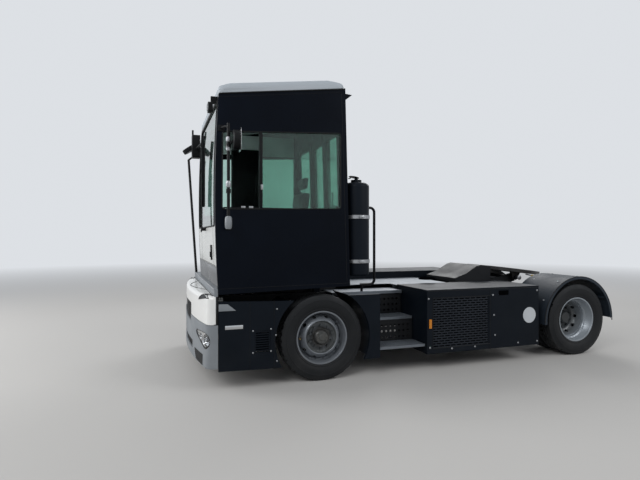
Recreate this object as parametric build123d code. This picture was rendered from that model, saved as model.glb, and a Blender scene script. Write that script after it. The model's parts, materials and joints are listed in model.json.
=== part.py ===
"""Terminal tractor, in millimetres: +X forward, +Y to its left, +Z up, from the ground below its middle."""
import math
import os

from build123d import *

os.makedirs("parts", exist_ok=True)

# Running gear
FRONT_AXLE_X = 1422.5
WHEELBASE = 3633.0
REAR_AXLE_X = FRONT_AXLE_X - WHEELBASE
TYRE_R = 475.0
TYRE_W = 270.0
RIM_R = 286.0
RIM_HALF_W = 114.0
RIM_WALL = 10.0
FLANGE_R = 298.5
FRONT_TYRE_Y = 1070.0
REAR_OUTER_Y = 1085.0
TWIN_SPACING = 315.0
HAND_HOLES = 10
HAND_HOLE_R = 24.0
HUB_R = 88.0
KINGPIN_Y = 930.0
KINGPIN_R = 24.0
RUNNING_GAP = 0.05
FACE_GAP = 0.3
MOVE_GAP = 6.0

# Body
HALF_WIDTH = 1250.0
SKIN = 30.0
ARCH_R = 548.0
SHELF_Z = 1060.0
BUMPER_Z = (246.0, 690.0)
HOOD_TOP = 985.0
BUMPER_JOINT_X = 2568.0
BUMPER_CORNER_X = 2672.0
BUMPER_NOSE_X = 2792.5
PANEL_TOP = 928.0
PANEL_BOTTOM = 200.0
ARCH_PANEL_REAR_X = 745.0

# Frame
RAIL_Y = (352.0, 430.0)
RAIL_Z = (680.0, 890.0)
RAIL_WALL = 9.0
RAIL_FRONT_X = 2420.0
RAIL_REAR_X = -2700.0
DECK_Z = 950.0
DECK_T = 5.0
DECK_REACH = 60.0

# Cab
CAB_LEFT = HALF_WIDTH - 10
CAB_RIGHT = -660.0
CAB_WALL = 40.0
CAB_FLOOR_Z = 1060.0
CAB_FLOOR_T = 40.0
CAB_FRONT_LOW = (2564.0, 1000.0)
CAB_FRONT_MID = (2596.0, 1900.0)
CAB_FRONT_HIGH = (2558.0, 3061.0)
CAB_REAR_LOW = (1112.0, 1043.0)
CAB_REAR_HIGH = (1169.5, 3243.0)
SILL_Z = (1879.0, 1905.0)
HEAD_Z = (2666.0, 2734.0)
SIDE_PANE_X = (2522.0, 1229.5)
SHIELD_BOTTOM = 1710.0
ROOF_CROWN = 125.0
GLASS_T = 6.0

# Side boxes
BOX_FRONT_X = 132.0
BOX_REAR_X = -1522.0
BOX_INNER_Y = 505.0
BOX_Z = (200.0, 960.0)
COVER_FRONT_X = -757.0
MESH_FRONT_X = 47.0
MESH_Z = (270.0, 855.0)

# Lift and fifth wheel
BOOM_PIVOT_X = -628.0
BOOM_PIVOT_Z = 790.0
PLATE_PIVOT_X = -1927.0
PLATE_PIVOT_Z = 985.0
PIN_R = 25.0


def block(x0, x1, y0, y1, z0, z1):
    """A block between two corners, given in any order."""
    size = Box(abs(x1 - x0), abs(y1 - y0), abs(z1 - z0))
    return Pos((x0 + x1) / 2, (y0 + y1) / 2, (z0 + z1) / 2) * size


def side_plate(points, y0, y1):
    """A plate with a straight-sided outline in X and Z, between two widths."""
    face = make_face(Polyline(*points, close=True))
    return Pos(0, max(y0, y1), 0) * extrude(Plane.XZ * face, amount=abs(y1 - y0))


def cross_plate(points, x0, x1):
    """A plate with a straight-sided outline in Y and Z, between two lengths."""
    face = make_face(Polyline(*points, close=True))
    return Pos(min(x0, x1), 0, 0) * extrude(Plane.YZ * face, amount=abs(x1 - x0))


def flat_plate(points, z0, z1):
    """A plate with a straight-sided outline in X and Y, between two heights."""
    face = make_face(Polyline(*points, close=True))
    return Pos(0, 0, min(z0, z1)) * extrude(face, amount=abs(z1 - z0))


def rod_y(x, z, y0, y1, radius):
    """A round bar that lies across the tractor."""
    return Pos(x, (y0 + y1) / 2, z) * Rot(90, 0, 0) * Cylinder(radius, abs(y1 - y0))


def rod_x(y, z, x0, x1, radius):
    """A round bar that lies along the tractor."""
    return Pos((x0 + x1) / 2, y, z) * Rot(0, 90, 0) * Cylinder(radius, abs(x1 - x0))


def rod_z(x, y, z0, z1, radius):
    """A round bar that stands upright."""
    return Pos(x, y, (z0 + z1) / 2) * Cylinder(radius, abs(z1 - z0))


def bar(start, end, radius):
    """A round bar from one point to another."""
    path = Line(start, end)
    return Solid.extrude(Face(Wire(Edge.make_circle(radius, Plane(start, z_dir=path % 0)))),
                         Vector(*end) - Vector(*start))


def tube(points, radius, bend):
    """A bent round bar with equal bends."""
    path = FilletPolyline(*points, radius=bend)
    return sweep(Plane(origin=path @ 0, z_dir=path % 0) * Circle(radius), path=path)


def spun(points):
    """A ring about the Y axis, from an outline of places across and radii."""
    face = make_face(Polyline(*points, close=True))
    return revolve(Plane.YZ * face, axis=Axis.Y)


def arc_points(x, z, radius, first, last, steps):
    """Points on an arc seen from the side; angles in degrees, 0 forward and 90 up."""
    turn = [math.radians(first + (last - first) * n / steps) for n in range(steps + 1)]
    return [(x + radius * math.cos(a), z + radius * math.sin(a)) for a in turn]


def mirrored(shape):
    """The same piece on the tractor's right side."""
    return mirror(shape, about=Plane.XZ)


def save(node, *solids):
    """Writes one node from its solids."""
    children = [solid for group in solids for solid in group.solids()]
    shape = solids[0] if len(solids) == 1 else Compound(children=children)
    export_step(shape, f"parts/{node}.step")


def tyre():
    """A road tyre about the Y axis, its bead beside the rim's flanges."""
    bead = RIM_R + FACE_GAP
    seat = RIM_HALF_W - 8 - FACE_GAP
    crown = TYRE_R - 8
    half = TYRE_W / 2
    outline = Polyline((-seat, bead), (seat, bead), (seat, FLANGE_R + 6), (half - 8, FLANGE_R + 30))
    outline += ThreePointArc((half - 8, FLANGE_R + 30), (half, (bead + TYRE_R) / 2 + 10),
                             (half - 6, crown - 30))
    outline += ThreePointArc((half - 6, crown - 30), (half - 12, crown - 8), (half - 32, crown))
    outline += ThreePointArc((half - 32, crown), (0, TYRE_R), (-half + 32, crown))
    outline += ThreePointArc((-half + 32, crown), (-half + 12, crown - 8), (-half + 6, crown - 30))
    outline += ThreePointArc((-half + 6, crown - 30), (-half, (bead + TYRE_R) / 2 + 10),
                             (-half + 8, FLANGE_R + 30))
    outline += Polyline((-half + 8, FLANGE_R + 30), (-seat, FLANGE_R + 6), (-seat, bead))
    return revolve(Plane.YZ * make_face(outline), axis=Axis.Y)


# The disc's shape, from its weld in the rim's well to the bolting face
WELL_R = RIM_R - 28.0
DISC_RIDGE = 96.0
DISC_RIDGE_R = 188.0
DISC_FACE = 62.0
DISC_FACE_R = 165.0
DISC_T = 12.0
BOLT_CIRCLE_R = 140.0


def rim():
    """A disc wheel about the Y axis: flanged barrel with a well, hand holes, disc bulged to +Y."""
    edge = RIM_HALF_W
    barrel = spun([
        (-edge, FLANGE_R), (-edge + 8, FLANGE_R), (-edge + 8, RIM_R), (-60, RIM_R - 2), (-48, WELL_R),
        (-6, WELL_R), (6, RIM_R - 2), (edge - 8, RIM_R), (edge - 8, FLANGE_R), (edge, FLANGE_R),
        (edge, RIM_R - 4), (edge - 6, RIM_R - RIM_WALL), (12, RIM_R - RIM_WALL), (0, WELL_R - RIM_WALL),
        (-52, WELL_R - RIM_WALL), (-66, RIM_R - RIM_WALL), (-edge + 6, RIM_R - RIM_WALL), (-edge, RIM_R - 4)])
    disc = spun([
        (-40, WELL_R - 5), (-10, WELL_R - 5), (0, WELL_R - 14), (50, DISC_RIDGE_R + 40), (DISC_RIDGE - 14,
                                                                                          DISC_RIDGE_R + 14),
        (DISC_RIDGE, DISC_RIDGE_R - 2), (DISC_RIDGE - 6, DISC_RIDGE_R - 10), (DISC_FACE,
                                                                              DISC_FACE_R), (DISC_FACE,
                                                                                             HUB_R),
        (DISC_FACE - DISC_T, HUB_R), (DISC_FACE - DISC_T, DISC_FACE_R + 6), (DISC_RIDGE - 22,
                                                                             DISC_RIDGE_R - 4),
        (DISC_RIDGE - 26, DISC_RIDGE_R + 6), (38, DISC_RIDGE_R + 28), (-12, WELL_R - 22), (-40, WELL_R - 20)])
    wheel = barrel + disc
    for turn in range(HAND_HOLES):
        tool = Rot(0, 360 / HAND_HOLES * (turn + 0.5), 0) * Pos(0, 40, DISC_RIDGE_R + 38) * Rot(-58, 0, 0)
        wheel -= tool * Cylinder(HAND_HOLE_R, 90)
        place = Rot(0, 360 / HAND_HOLES * turn, 0) * Pos(0, DISC_FACE - 1, BOLT_CIRCLE_R - 10) * Rot(-90, 0,
                                                                                                     0)
        wheel += place * extrude(RegularPolygon(15, 6), amount=23)
    return wheel


SPINDLE_R = 45.0
DRUM_R = 202.0


def hub(depth, reach):
    """The hub with its drum and cap, from inside at depth to the cap at reach, bored for its spindle."""
    inner = DISC_FACE - DISC_T - FACE_GAP
    bore = SPINDLE_R + RUNNING_GAP
    body = spun([
        (-depth, bore), (-depth, 76), (0, 90), (10, 96), (10, DRUM_R - 16), (-92, DRUM_R - 16), (-92, DRUM_R),
        (18, DRUM_R), (inner - 26, DRUM_R - 6), (inner - 26, 158), (inner, 158), (inner, HUB_R - FACE_GAP),
        (DISC_FACE + 8, HUB_R - FACE_GAP), (reach - 22, HUB_R - 14), (reach - 6, 52), (reach, 40), (reach, 0),
        (reach - 30, 0), (reach - 30, bore)])
    return body


# Wheels
HUB_REACH = 112.0


def make_wheels():
    """Front wheels, one each side, and rear twins, each with tyre, rim and hub."""
    road_tyre = tyre()
    outward = [rim(), hub(58, HUB_REACH)]
    front = Pos(FRONT_AXLE_X, FRONT_TYRE_Y, TYRE_R)
    save("tyre_front_left", front * road_tyre)
    save("wheel_front_left", *[front * piece for piece in outward])
    save("tyre_front_right", mirrored(front * road_tyre))
    save("wheel_front_right", *[mirrored(front * piece) for piece in outward])
    inner_y = REAR_OUTER_Y - TWIN_SPACING
    outer = Pos(REAR_AXLE_X, REAR_OUTER_Y, TYRE_R)
    inner = Pos(REAR_AXLE_X, inner_y, TYRE_R)
    tyres = [outer * road_tyre, inner * road_tyre]
    wheels = [outer * twin_rim(-1), inner * twin_rim(1), rear_hub((REAR_OUTER_Y + inner_y) / 2)]
    save("tyres_rear_left", *tyres)
    save("wheels_rear_left", *wheels)
    save("tyres_rear_right", *[mirrored(piece) for piece in tyres])
    save("wheels_rear_right", *[mirrored(piece) for piece in wheels])


def twin_rim(side):
    """A twin's disc wheel: barrel, and a deep dish that reaches the middle between the twins on one side."""
    edge = RIM_HALF_W
    meet = TWIN_SPACING / 2 - FACE_GAP / 2
    half = [(-edge, FLANGE_R), (-edge + 8, FLANGE_R), (-edge + 8, RIM_R), (-6, RIM_R - 2), (6, WELL_R),
            (48, WELL_R), (60, RIM_R - 2), (edge - 8, RIM_R), (edge - 8, FLANGE_R), (edge, FLANGE_R),
            (edge, RIM_R - 4), (edge - 6, RIM_R - RIM_WALL), (66, RIM_R - RIM_WALL), (52, WELL_R - RIM_WALL),
            (0, WELL_R - RIM_WALL), (-12, RIM_R - RIM_WALL), (-edge + 6, RIM_R - RIM_WALL), (-edge,
                                                                                             RIM_R - 4)]
    disc = [(30, WELL_R - 5), (48, WELL_R - 5), (60, WELL_R - 12), (118, WELL_R - 30),
            (meet - 8, WELL_R - 52),
            (meet, WELL_R - 76), (meet, HUB_R + 6), (meet - DISC_T, HUB_R + 6), (meet - DISC_T, WELL_R - 84),
            (meet - 24, WELL_R - 60), (110, WELL_R - 42), (56, WELL_R - 24), (30, WELL_R - 20)]
    wheel = spun([(side * y, r) for y, r in half]) + spun([(side * y, r) for y, r in disc])
    for turn in range(HAND_HOLES):
        place = Rot(0, 360 / HAND_HOLES * (turn + 0.5), 0) * Pos(0, side * 122, WELL_R - 40)
        wheel -= place * Rot(-side * 24, 0, 0) * Cylinder(HAND_HOLE_R, 90)
        if side < 0:
            nut = Rot(0, 360 / HAND_HOLES * turn, 0) * Pos(0, DISC_T - meet - 1, BOLT_CIRCLE_R) * Rot(-90, 0,
                                                                                                      0)
            wheel += nut * extrude(RegularPolygon(15, 6), amount=27)
    return wheel


REAR_HUB_REACH = 92.0


def rear_hub(middle_y):
    """The rear hub with its drum, through both discs, around the axle tube's end."""
    spot = Pos(REAR_AXLE_X, middle_y, TYRE_R)
    reach = REAR_HUB_REACH
    bore = SPINDLE_R + RUNNING_GAP
    inner = -DISC_T - FACE_GAP * 2
    body = spot * spun([
        (-205, bore), (-205, 80), (inner - 30, 100), (inner - 30, 185), (-180, 185), (-180, DRUM_R - 4),
        (inner - 12, DRUM_R - 4), (inner - 12, 168), (inner, 168), (inner, HUB_R + 5), (DISC_T + 10,
                                                                                        HUB_R + 5),
        (reach - 18, HUB_R - 6), (reach, HUB_R - 22), (reach, 0), (reach - 26, 0), (reach - 26, bore)])
    return body


# Axles, springs, engine and driveline
BEAM_HALF = 45.0
KNUCKLE_EAR = 30.0
SPRING_Y = (360.0, 422.0)
SPRING_HALF = 640.0
ENGINE_HALF_Y = 290.0
AXLE_TUBE_R = 62.0


def make_axles():
    """Front beam with kingpins, knuckles with spindles, leaf springs, rear housing, engine, driveshaft."""
    z = TYRE_R
    half_profile = [(0, 335), (280, 335), (400, 400), (KINGPIN_Y - 40, z - 45), (KINGPIN_Y, z - 45),
                    (KINGPIN_Y, z + 45), (KINGPIN_Y - 40, z + 45), (400, 500), (280, 435), (0, 435)]
    arm = Pos(FRONT_AXLE_X, 0, 0) * cross_plate(half_profile, -BEAM_HALF, BEAM_HALF)
    pin = rod_z(FRONT_AXLE_X, KINGPIN_Y, z - 100, z + 100, KINGPIN_R)
    boss = rod_z(FRONT_AXLE_X, KINGPIN_Y, z - 45, z + 45, BEAM_HALF)
    left = arm + boss + pin
    save("front_axle_beam", left + mirrored(left))

    ears = []
    for sign in (-1, 1):
        middle = z + sign * (45 + 1 + KNUCKLE_EAR / 2)
        ear = rod_z(FRONT_AXLE_X, KINGPIN_Y, middle - KNUCKLE_EAR / 2, middle + KNUCKLE_EAR / 2, BEAM_HALF)
        ear += block(FRONT_AXLE_X - 40, FRONT_AXLE_X + 40, KINGPIN_Y, KINGPIN_Y + 62, middle - 15,
                     middle + 15)
        ears.append(ear)
    web = block(FRONT_AXLE_X - 40, FRONT_AXLE_X + 40, KINGPIN_Y + 52, KINGPIN_Y + 72, z - 76, z + 76)
    plate = rod_y(FRONT_AXLE_X, z, KINGPIN_Y + 54, KINGPIN_Y + 62, DRUM_R - 24)
    stub = rod_y(FRONT_AXLE_X, z, KINGPIN_Y + 60, FRONT_TYRE_Y + HUB_REACH - 32, SPINDLE_R)
    knuckle = ears[0] + ears[1] + web + plate + stub
    knuckle -= rod_z(FRONT_AXLE_X, KINGPIN_Y, z - 120, z + 120, KINGPIN_R + RUNNING_GAP)
    save("knuckle_left", knuckle)
    save("knuckle_right", mirrored(knuckle))

    top = 640.0
    y0, y1 = SPRING_Y
    curve = [(FRONT_AXLE_X + SPRING_HALF, top + 8), (FRONT_AXLE_X, 520),
             (FRONT_AXLE_X - SPRING_HALF, top + 8)]
    under = [(x, height - 16) for x, height in curve]
    leaf = make_face(ThreePointArc(*curve) + Line(curve[2], under[2]) + ThreePointArc(*reversed(under))
                     + Line(under[0], curve[0]))
    springs = Pos(0, y1, 0) * extrude(Plane.XZ * leaf, amount=y1 - y0)
    for sign in (-1, 1):
        end_x = FRONT_AXLE_X + sign * (SPRING_HALF - 18)
        springs += block(end_x - 18, end_x + 18, y0, y1, top - 12, RAIL_Z[0])
    springs += block(FRONT_AXLE_X - 60, FRONT_AXLE_X + 60, y0, y1, 501.2, 525)
    save("leaf_springs", springs, mirrored(springs))

    tube_end = REAR_OUTER_Y - TWIN_SPACING / 2 - 210
    housing = rod_y(REAR_AXLE_X, z, -tube_end, tube_end, AXLE_TUBE_R + 12)
    ring = Pos(REAR_AXLE_X, 0, z) * Rot(0, 0, 0) * Sphere(205)
    housing += ring & block(REAR_AXLE_X - 150, REAR_AXLE_X + 205, -170, 170, z - 205, z + 205)
    housing += rod_x(0, z, REAR_AXLE_X + 120, REAR_AXLE_X + 300, 70)
    spindle_end = REAR_OUTER_Y - TWIN_SPACING / 2 + REAR_HUB_REACH - 28
    housing += rod_y(REAR_AXLE_X, z, -spindle_end, spindle_end, SPINDLE_R)
    for side in (-1, 1):
        low, high = sorted((side * (RAIL_Y[0] + 8), side * (RAIL_Y[1] - 2)))
        housing += block(REAR_AXLE_X - 130, REAR_AXLE_X + 130, low, high, z + 40, RAIL_Z[0])
    save("rear_axle_housing", housing)

    engine = block(922, 2022, -ENGINE_HALF_Y, ENGINE_HALF_Y, 500, 1000)
    gearbox = side_plate([(922, 520), (922, 900), (560, 800), (222, 700), (222, 500), (560, 450)], -190, 190)
    save("engine_block", engine + gearbox)
    start = Vector(222 - 3, 0, 600)
    end = Vector(REAR_AXLE_X + 303, 0, z)
    save("driveshaft", bar(tuple(start), tuple(end), 45))


# Frame
CROSS_X = (2380.0, 180.0, -300.0, -2620.0)
RAM_FOOT = (-875.0, 540.0)
RAM_EYE = (-1275.0, 900.0)
RAM_Y = 190.0
RAMP_START_X = -2150.0
RAMP_END_Z = 760.0
OUTRIGGERS_X = (2470.0, 2080.0, 790.0)


def make_frame():
    """Two channel rails with sloped rear ends, cross members, boom shaft, cylinder foot, outriggers."""
    inner, outer = RAIL_Y
    low, high = RAIL_Z
    outline = [(RAIL_FRONT_X + 130, low), (RAIL_FRONT_X + 130, high), (RAMP_START_X, high),
               (RAIL_REAR_X, RAMP_END_Z),
               (RAIL_REAR_X, low)]
    channel = side_plate(outline, inner, outer)
    hollow = [(RAIL_FRONT_X + 140, low + RAIL_WALL), (RAIL_FRONT_X + 140, high - RAIL_WALL),
              (RAMP_START_X, high - RAIL_WALL), (RAIL_REAR_X - 10, RAMP_END_Z - RAIL_WALL),
              (RAIL_REAR_X - 10, low + RAIL_WALL)]
    channel -= side_plate(hollow, inner - 1, outer - RAIL_WALL)
    frame = channel + mirrored(channel)
    web = outer - RAIL_WALL / 2
    for x in CROSS_X:
        top = 830 if x == CROSS_X[0] else RAMP_END_Z - 40
        frame += block(x - 35, x + 35, -web, web, low + 20, top)
    frame += block(RAIL_FRONT_X + 80, RAIL_FRONT_X + 150, -1060, 1060, 560, low + 30)
    frame += rod_y(BOOM_PIVOT_X, BOOM_PIVOT_Z, -web, web, PIN_R + 7)
    foot_x, foot_z = RAM_FOOT
    beam_x = foot_x + 75
    frame += block(beam_x, beam_x + 80, -web, web, low - 80, low + 10)
    for side in (-1, 1):
        for ear in (RAM_Y - RAM_R - 18, RAM_Y + RAM_R + 4):
            y0, y1 = sorted((side * ear, side * (ear + 14)))
            frame += side_plate([(foot_x - 30, foot_z - 30), (foot_x + 35, foot_z - 34),
                                 (beam_x + 80, low - 80),
                                 (beam_x + 80, low), (beam_x, low), (foot_x - 30, foot_z + 30)], y0, y1)
        y0, y1 = sorted((side * (RAM_Y - RAM_R - 18), side * (RAM_Y + RAM_R + 18)))
        frame += rod_y(foot_x, foot_z, y0, y1, PIN_R)
        for x in OUTRIGGERS_X:
            y0, y1 = sorted((side * (outer - 4), side * (HALF_WIDTH - SKIN - FACE_GAP)))
            frame += block(x - 25, x + 25, y0, y1, 575, 625)
            y0, y1 = sorted((side * (outer - 8), side * (outer + 12)))
            frame += block(x - 25, x + 25, y0, y1, 575, low + 60)
    frame += block(RAIL_REAR_X, RAIL_REAR_X - 20, -565, 565, 610, 732)
    save("chassis_frame", frame)


# Lift
BOOM_ARM_Y = (250.0, 298.0)
RAM_R = 45.0
ROD_R = 26.0
EYE_R = 44.0
EYE_GAP = 5.0
HUMP_X = (-857.0, -1468.0)
HUMP_Z = (945.0, 1000.0, 1178.0)
HUMP_HALF = 372.0


def make_lift():
    """The lifting boom with its humped cover, the two cylinders and their rods."""
    y0, y1 = BOOM_ARM_Y
    foot_x, foot_z = RAM_FOOT
    eye_x, eye_z = RAM_EYE
    lower = arc_points(BOOM_PIVOT_X, BOOM_PIVOT_Z, 78, 100, -80, 8)
    outline = lower + [(eye_x, eye_z - 90), (-1560, 850), (PLATE_PIVOT_X - 40, PLATE_PIVOT_Z - 60)]
    outline += arc_points(PLATE_PIVOT_X, PLATE_PIVOT_Z, 56, 230, 80, 6)
    outline += [(-1560, 962), (HUMP_X[0], 945)]
    arm = side_plate(outline, y0, y1)
    arm -= rod_y(BOOM_PIVOT_X, BOOM_PIVOT_Z, y0 - 1, y1 + 1, PIN_R + 7 + RUNNING_GAP)
    boom = arm + mirrored(arm)
    boom += rod_y(eye_x, eye_z, -y0 - 5, y0 + 5, PIN_R)
    boom += rod_y(PLATE_PIVOT_X, PLATE_PIVOT_Z, -y1 - 90, y1 + 90, PIN_R)
    boom += block(-1620, -1540, -y0 - 5, y0 + 5, 860, 940)
    front, rear = HUMP_X
    low, lip, high = HUMP_Z
    cover = side_plate([(front, low), (front, lip), (front - 190, lip + 62), (front - 360, high - 18),
                        (front - 440, high), (rear, high - 30), (rear, low)], -HUMP_HALF, HUMP_HALF)
    inside = side_plate([(front - 14, low - 1), (front - 14, lip - 6), (front - 190, lip + 54),
                         (front - 360, high - 26),
                         (front - 440, high - 10), (rear + 8, high - 40), (rear + 8, low - 1)],
                        -HUMP_HALF + 8, HUMP_HALF - 8)
    boom += cover - inside
    save("lift_boom", boom)

    along = Vector(eye_x - foot_x, 0, eye_z - foot_z)
    length = along.length
    way = along.normalized()
    foot = Vector(foot_x, 0, foot_z)
    barrels = []
    rods = []
    for side in (-1, 1):
        middle = Vector(0, side * RAM_Y, 0)
        start = foot + middle + way * (EYE_R - 6)
        mouth = foot + middle + way * (length - 105)
        barrel = bar(tuple(start), tuple(mouth), RAM_R)
        y0, y1 = side * RAM_Y - 28, side * RAM_Y + 28
        barrel += rod_y(foot_x, foot_z, y0, y1, EYE_R)
        barrel -= rod_y(foot_x, foot_z, y0 - 1, y1 + 1, PIN_R + RUNNING_GAP)
        bore_start = foot + middle + way * (length - 330)
        barrel -= bar(tuple(bore_start), tuple(mouth + way * 5), ROD_R + RUNNING_GAP)
        barrels.append(barrel)
        rod = bar(tuple(bore_start + way * 2), tuple(foot + middle + way * (length - EYE_R + 4)), ROD_R)
        rod += rod_y(eye_x, eye_z, y0, y1, EYE_R)
        rod -= rod_y(eye_x, eye_z, y0 - 1, y1 + 1, PIN_R + EYE_GAP)
        rods.append(rod)
    save("lift_barrels", *barrels)
    save("lift_rods", *rods)


# Fifth wheel
PLATE_TILT = 7.0
PLATE_T = 14.0
PLATE_TOP = 126.0
PLATE_HALF = 455.0
PLATE_AHEAD = 400.0
PLATE_BEHIND = 550.0
THROAT_R = 27.0
THROAT_MOUTH = 150.0
SKIRT = 50.0


def make_fifth_wheel():
    """The coupling plate with its throat, horns, skirt ribs and pivot ears, tipped back on its cross pin."""
    top = PLATE_TOP
    half = PLATE_HALF
    outline = [(PLATE_AHEAD, -half * 0.62), (PLATE_AHEAD, half * 0.62), (PLATE_AHEAD * 0.72, half * 0.9),
               (40, half), (-190, half), (-470, half * 0.72), (-PLATE_BEHIND, half * 0.55),
               (-PLATE_BEHIND, THROAT_MOUTH), (-120, THROAT_R), (-120, -THROAT_R), (-PLATE_BEHIND,
                                                                                    -THROAT_MOUTH),
               (-PLATE_BEHIND, -half * 0.55), (-470, -half * 0.72), (-190, -half), (40, -half),
               (PLATE_AHEAD * 0.72, -half * 0.9)]
    plate = flat_plate(outline, top - PLATE_T, top)
    skirt = flat_plate(outline, top - SKIRT, top - PLATE_T)
    skirt -= offset_plate(outline, -16, top - SKIRT - 1, top - PLATE_T)
    for y in (-200, 200):
        skirt += block(-330, PLATE_AHEAD - 10, y - 8, y + 8, top - SKIRT,
                       top - PLATE_T) & flat_plate(outline, 0, top)
    plate += skirt
    plate -= block(-122, 20, -THROAT_R, THROAT_R, top - 90, top + 1) + rod_z(20, 0, top - 90, top + 1,
                                                                             THROAT_R)
    ear_y = BOOM_ARM_Y[1] + MOVE_GAP + 14
    for side in (-1, 1):
        low, high = sorted((side * ear_y, side * (ear_y + 40)))
        ear = side_plate([(-95, top - PLATE_T), (-45, -20), (-20, -42), (20, -42), (45, -20),
                          (95, top - PLATE_T)],
                         low, high)
        plate += ear - rod_y(0, 0, low - 1, high + 1, PIN_R + RUNNING_GAP)
    tipped = Pos(PLATE_PIVOT_X, 0, PLATE_PIVOT_Z) * Rot(0, -PLATE_TILT, 0) * plate
    save("fifth_wheel_plate", tipped)


def offset_plate(points, amount, z0, z1):
    """A plate like flat_plate, with its outline moved in or out."""
    face = offset(make_face(Polyline(*points, close=True)), amount=amount, kind=Kind.INTERSECTION)
    return Pos(0, 0, z0) * extrude(face, amount=z1 - z0)


# Front end
CORNER_R = 100.0
NOSE_WALL = 36.0
HOOD_INSET = 5.0
HOOD_REAR_X = 2606.0
HOOD_ROUND = 42.0
GRILLE_HALF = 430.0
GRILLE_Z = (622.0, 828.0)
LAMP_X = 2675.0
LAMP_Y = 1100.0
LAMP_Z = 525.0
LAMP_R = 80.0
LAMP_TURN = 35.0
LAMP_DEPTH = 250.0
LAMP_ROUND_AT = 42.0
LAMP_TAIL = ((36.0, 80.0), (-262.0, 66.0), (-285.0, 42.0), (-265.0, 18.0), (8.0, -72.5))


def nose(inset, rear_x, z0, z1):
    """The front end in plan, bowed across with round corners, moved in by inset, between two heights."""
    bow = BUMPER_NOSE_X - BUMPER_CORNER_X
    bow_r = (bow ** 2 + HALF_WIDTH ** 2) / (2 * bow)
    side = HALF_WIDTH - inset
    side_x = BUMPER_NOSE_X - bow_r + math.sqrt((bow_r - inset) ** 2 - side ** 2)
    outline = ThreePointArc((side_x, side), (BUMPER_NOSE_X - inset, 0), (side_x, -side))
    back = BUMPER_CORNER_X - 3 * CORNER_R
    outline += Polyline((side_x, -side), (back, -side), (back, side), (side_x, side))
    face = make_face(outline)
    corners = face.vertices().sort_by(Axis.X)[-2:]
    whole = Pos(0, 0, z0) * extrude(fillet(corners, CORNER_R - inset), amount=z1 - z0)
    return whole & block(rear_x, BUMPER_NOSE_X + 1, -side - 1, side + 1, z0 - 1, z1 + 1)


def teardrop(inset):
    """The lamp's outline swept through the corner, round at the side and drawn out towards the middle."""
    turn = math.radians(LAMP_TURN)
    ahead, aside = math.cos(turn), math.sin(turn)
    back = (LAMP_X - LAMP_DEPTH * ahead, LAMP_Y - LAMP_DEPTH * aside, LAMP_Z)
    spot = Plane(origin=back, x_dir=(-aside, ahead, 0), z_dir=(ahead, aside, 0))
    face = Pos(LAMP_ROUND_AT, 0) * Circle(LAMP_R) + Polygon(*LAMP_TAIL, align=None)
    if inset:
        face = offset(face, amount=-inset, kind=Kind.INTERSECTION)
    return extrude(spot * face, amount=LAMP_DEPTH + 150)


def make_front():
    """Bumper, hood, grilles, headlamps and the shelf behind the hood."""
    low, high = BUMPER_Z
    shell = nose(0, BUMPER_JOINT_X, low, high) - nose(NOSE_WALL, BUMPER_JOINT_X - 1, low - 1, high + 1)
    opening = block(2600, 2850, -GRILLE_HALF, GRILLE_HALF, *GRILLE_Z)
    lower_opening = block(2600, 2850, -GRILLE_HALF * 1.3, GRILLE_HALF * 1.3, 330, 420)
    seats = teardrop(0) + mirrored(teardrop(0))
    hangers = block(RAIL_FRONT_X + 150, 2790, -420, -370, 570, 660) + block(RAIL_FRONT_X + 150, 2790, 370,
                                                                            420, 570, 660)
    hangers &= nose(NOSE_WALL - 2, BUMPER_JOINT_X, low, high)
    save("front_bumper", shell - opening - lower_opening - seats + hangers)

    lens_skin = nose(4, BUMPER_JOINT_X, low, high) - nose(NOSE_WALL + 20, BUMPER_JOINT_X - 1, low, high)
    lens = teardrop(FACE_GAP) & lens_skin
    save("headlamps", lens, mirrored(lens))

    hood = nose(HOOD_INSET, HOOD_REAR_X, high + 4, HOOD_TOP)
    rim_edges = hood.faces().sort_by(Axis.Z)[-1].edges().filter_by(lambda e: e.center().X > HOOD_REAR_X + 1)
    hood = fillet(rim_edges, HOOD_ROUND)
    hood -= nose(HOOD_INSET + NOSE_WALL, HOOD_REAR_X + 30, high, HOOD_TOP - 30)
    save("hood_panel", hood - opening)

    grilles = []
    for half, z0, z1, slats in ((GRILLE_HALF, *GRILLE_Z, 9), (GRILLE_HALF * 1.3, 330, 420, 4)):
        window = block(2600, 2850, -half + FACE_GAP, half - FACE_GAP, z0 + FACE_GAP, z1 - FACE_GAP)
        skin = nose(14, 2600, z0, z1) - nose(24, 2599, z0 - 1, z1 + 1)
        panel = skin & window
        pitch = (z1 - z0 - 12) / slats
        posts = 7
        bay = (2 * half - 14) / posts
        for row in range(slats):
            for post in range(posts):
                y = -half + 14 + post * bay
                z = z0 + 12 + row * pitch
                panel -= block(2600, 2850, y, y + bay - 14, z, z + pitch - 10)
        grilles.append(panel)
    save("front_grilles", *grilles)

    back = CAB_FRONT_MID[0] + 8
    shelf = block(BUMPER_JOINT_X, back, -HALF_WIDTH + 5, HALF_WIDTH - 5, 800, SHELF_Z)
    shelf -= block(BUMPER_JOINT_X - 1, back - 20, -HALF_WIDTH + 30, HALF_WIDTH - 30, 799, SHELF_Z - 20)
    shelf += block(2440, BUMPER_JOINT_X, -HALF_WIDTH + 5, CAB_RIGHT, SHELF_Z - 60, SHELF_Z)
    shelf += block(2440, BUMPER_JOINT_X, CAB_RIGHT + CAB_WALL, CAB_LEFT - CAB_WALL - 5, SHELF_Z - 60, SHELF_Z)
    for side in (-1, 1):
        y0, y1 = sorted((side * RAIL_Y[0], side * RAIL_Y[1]))
        shelf += block(2470, 2530, y0, y1, RAIL_Z[1], SHELF_Z - 60)
    save("front_shelf", shelf)


# Side panels
VENT_X = (2022.0, 2192.0)
VENT_Z = (367.0, 611.0)
LINER_T = 8.0
LINER_INNER_Y = 640.0
ARCH_PANEL_TOP = 940.0
ARCH_PANEL_BOTTOM = 210.0


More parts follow.
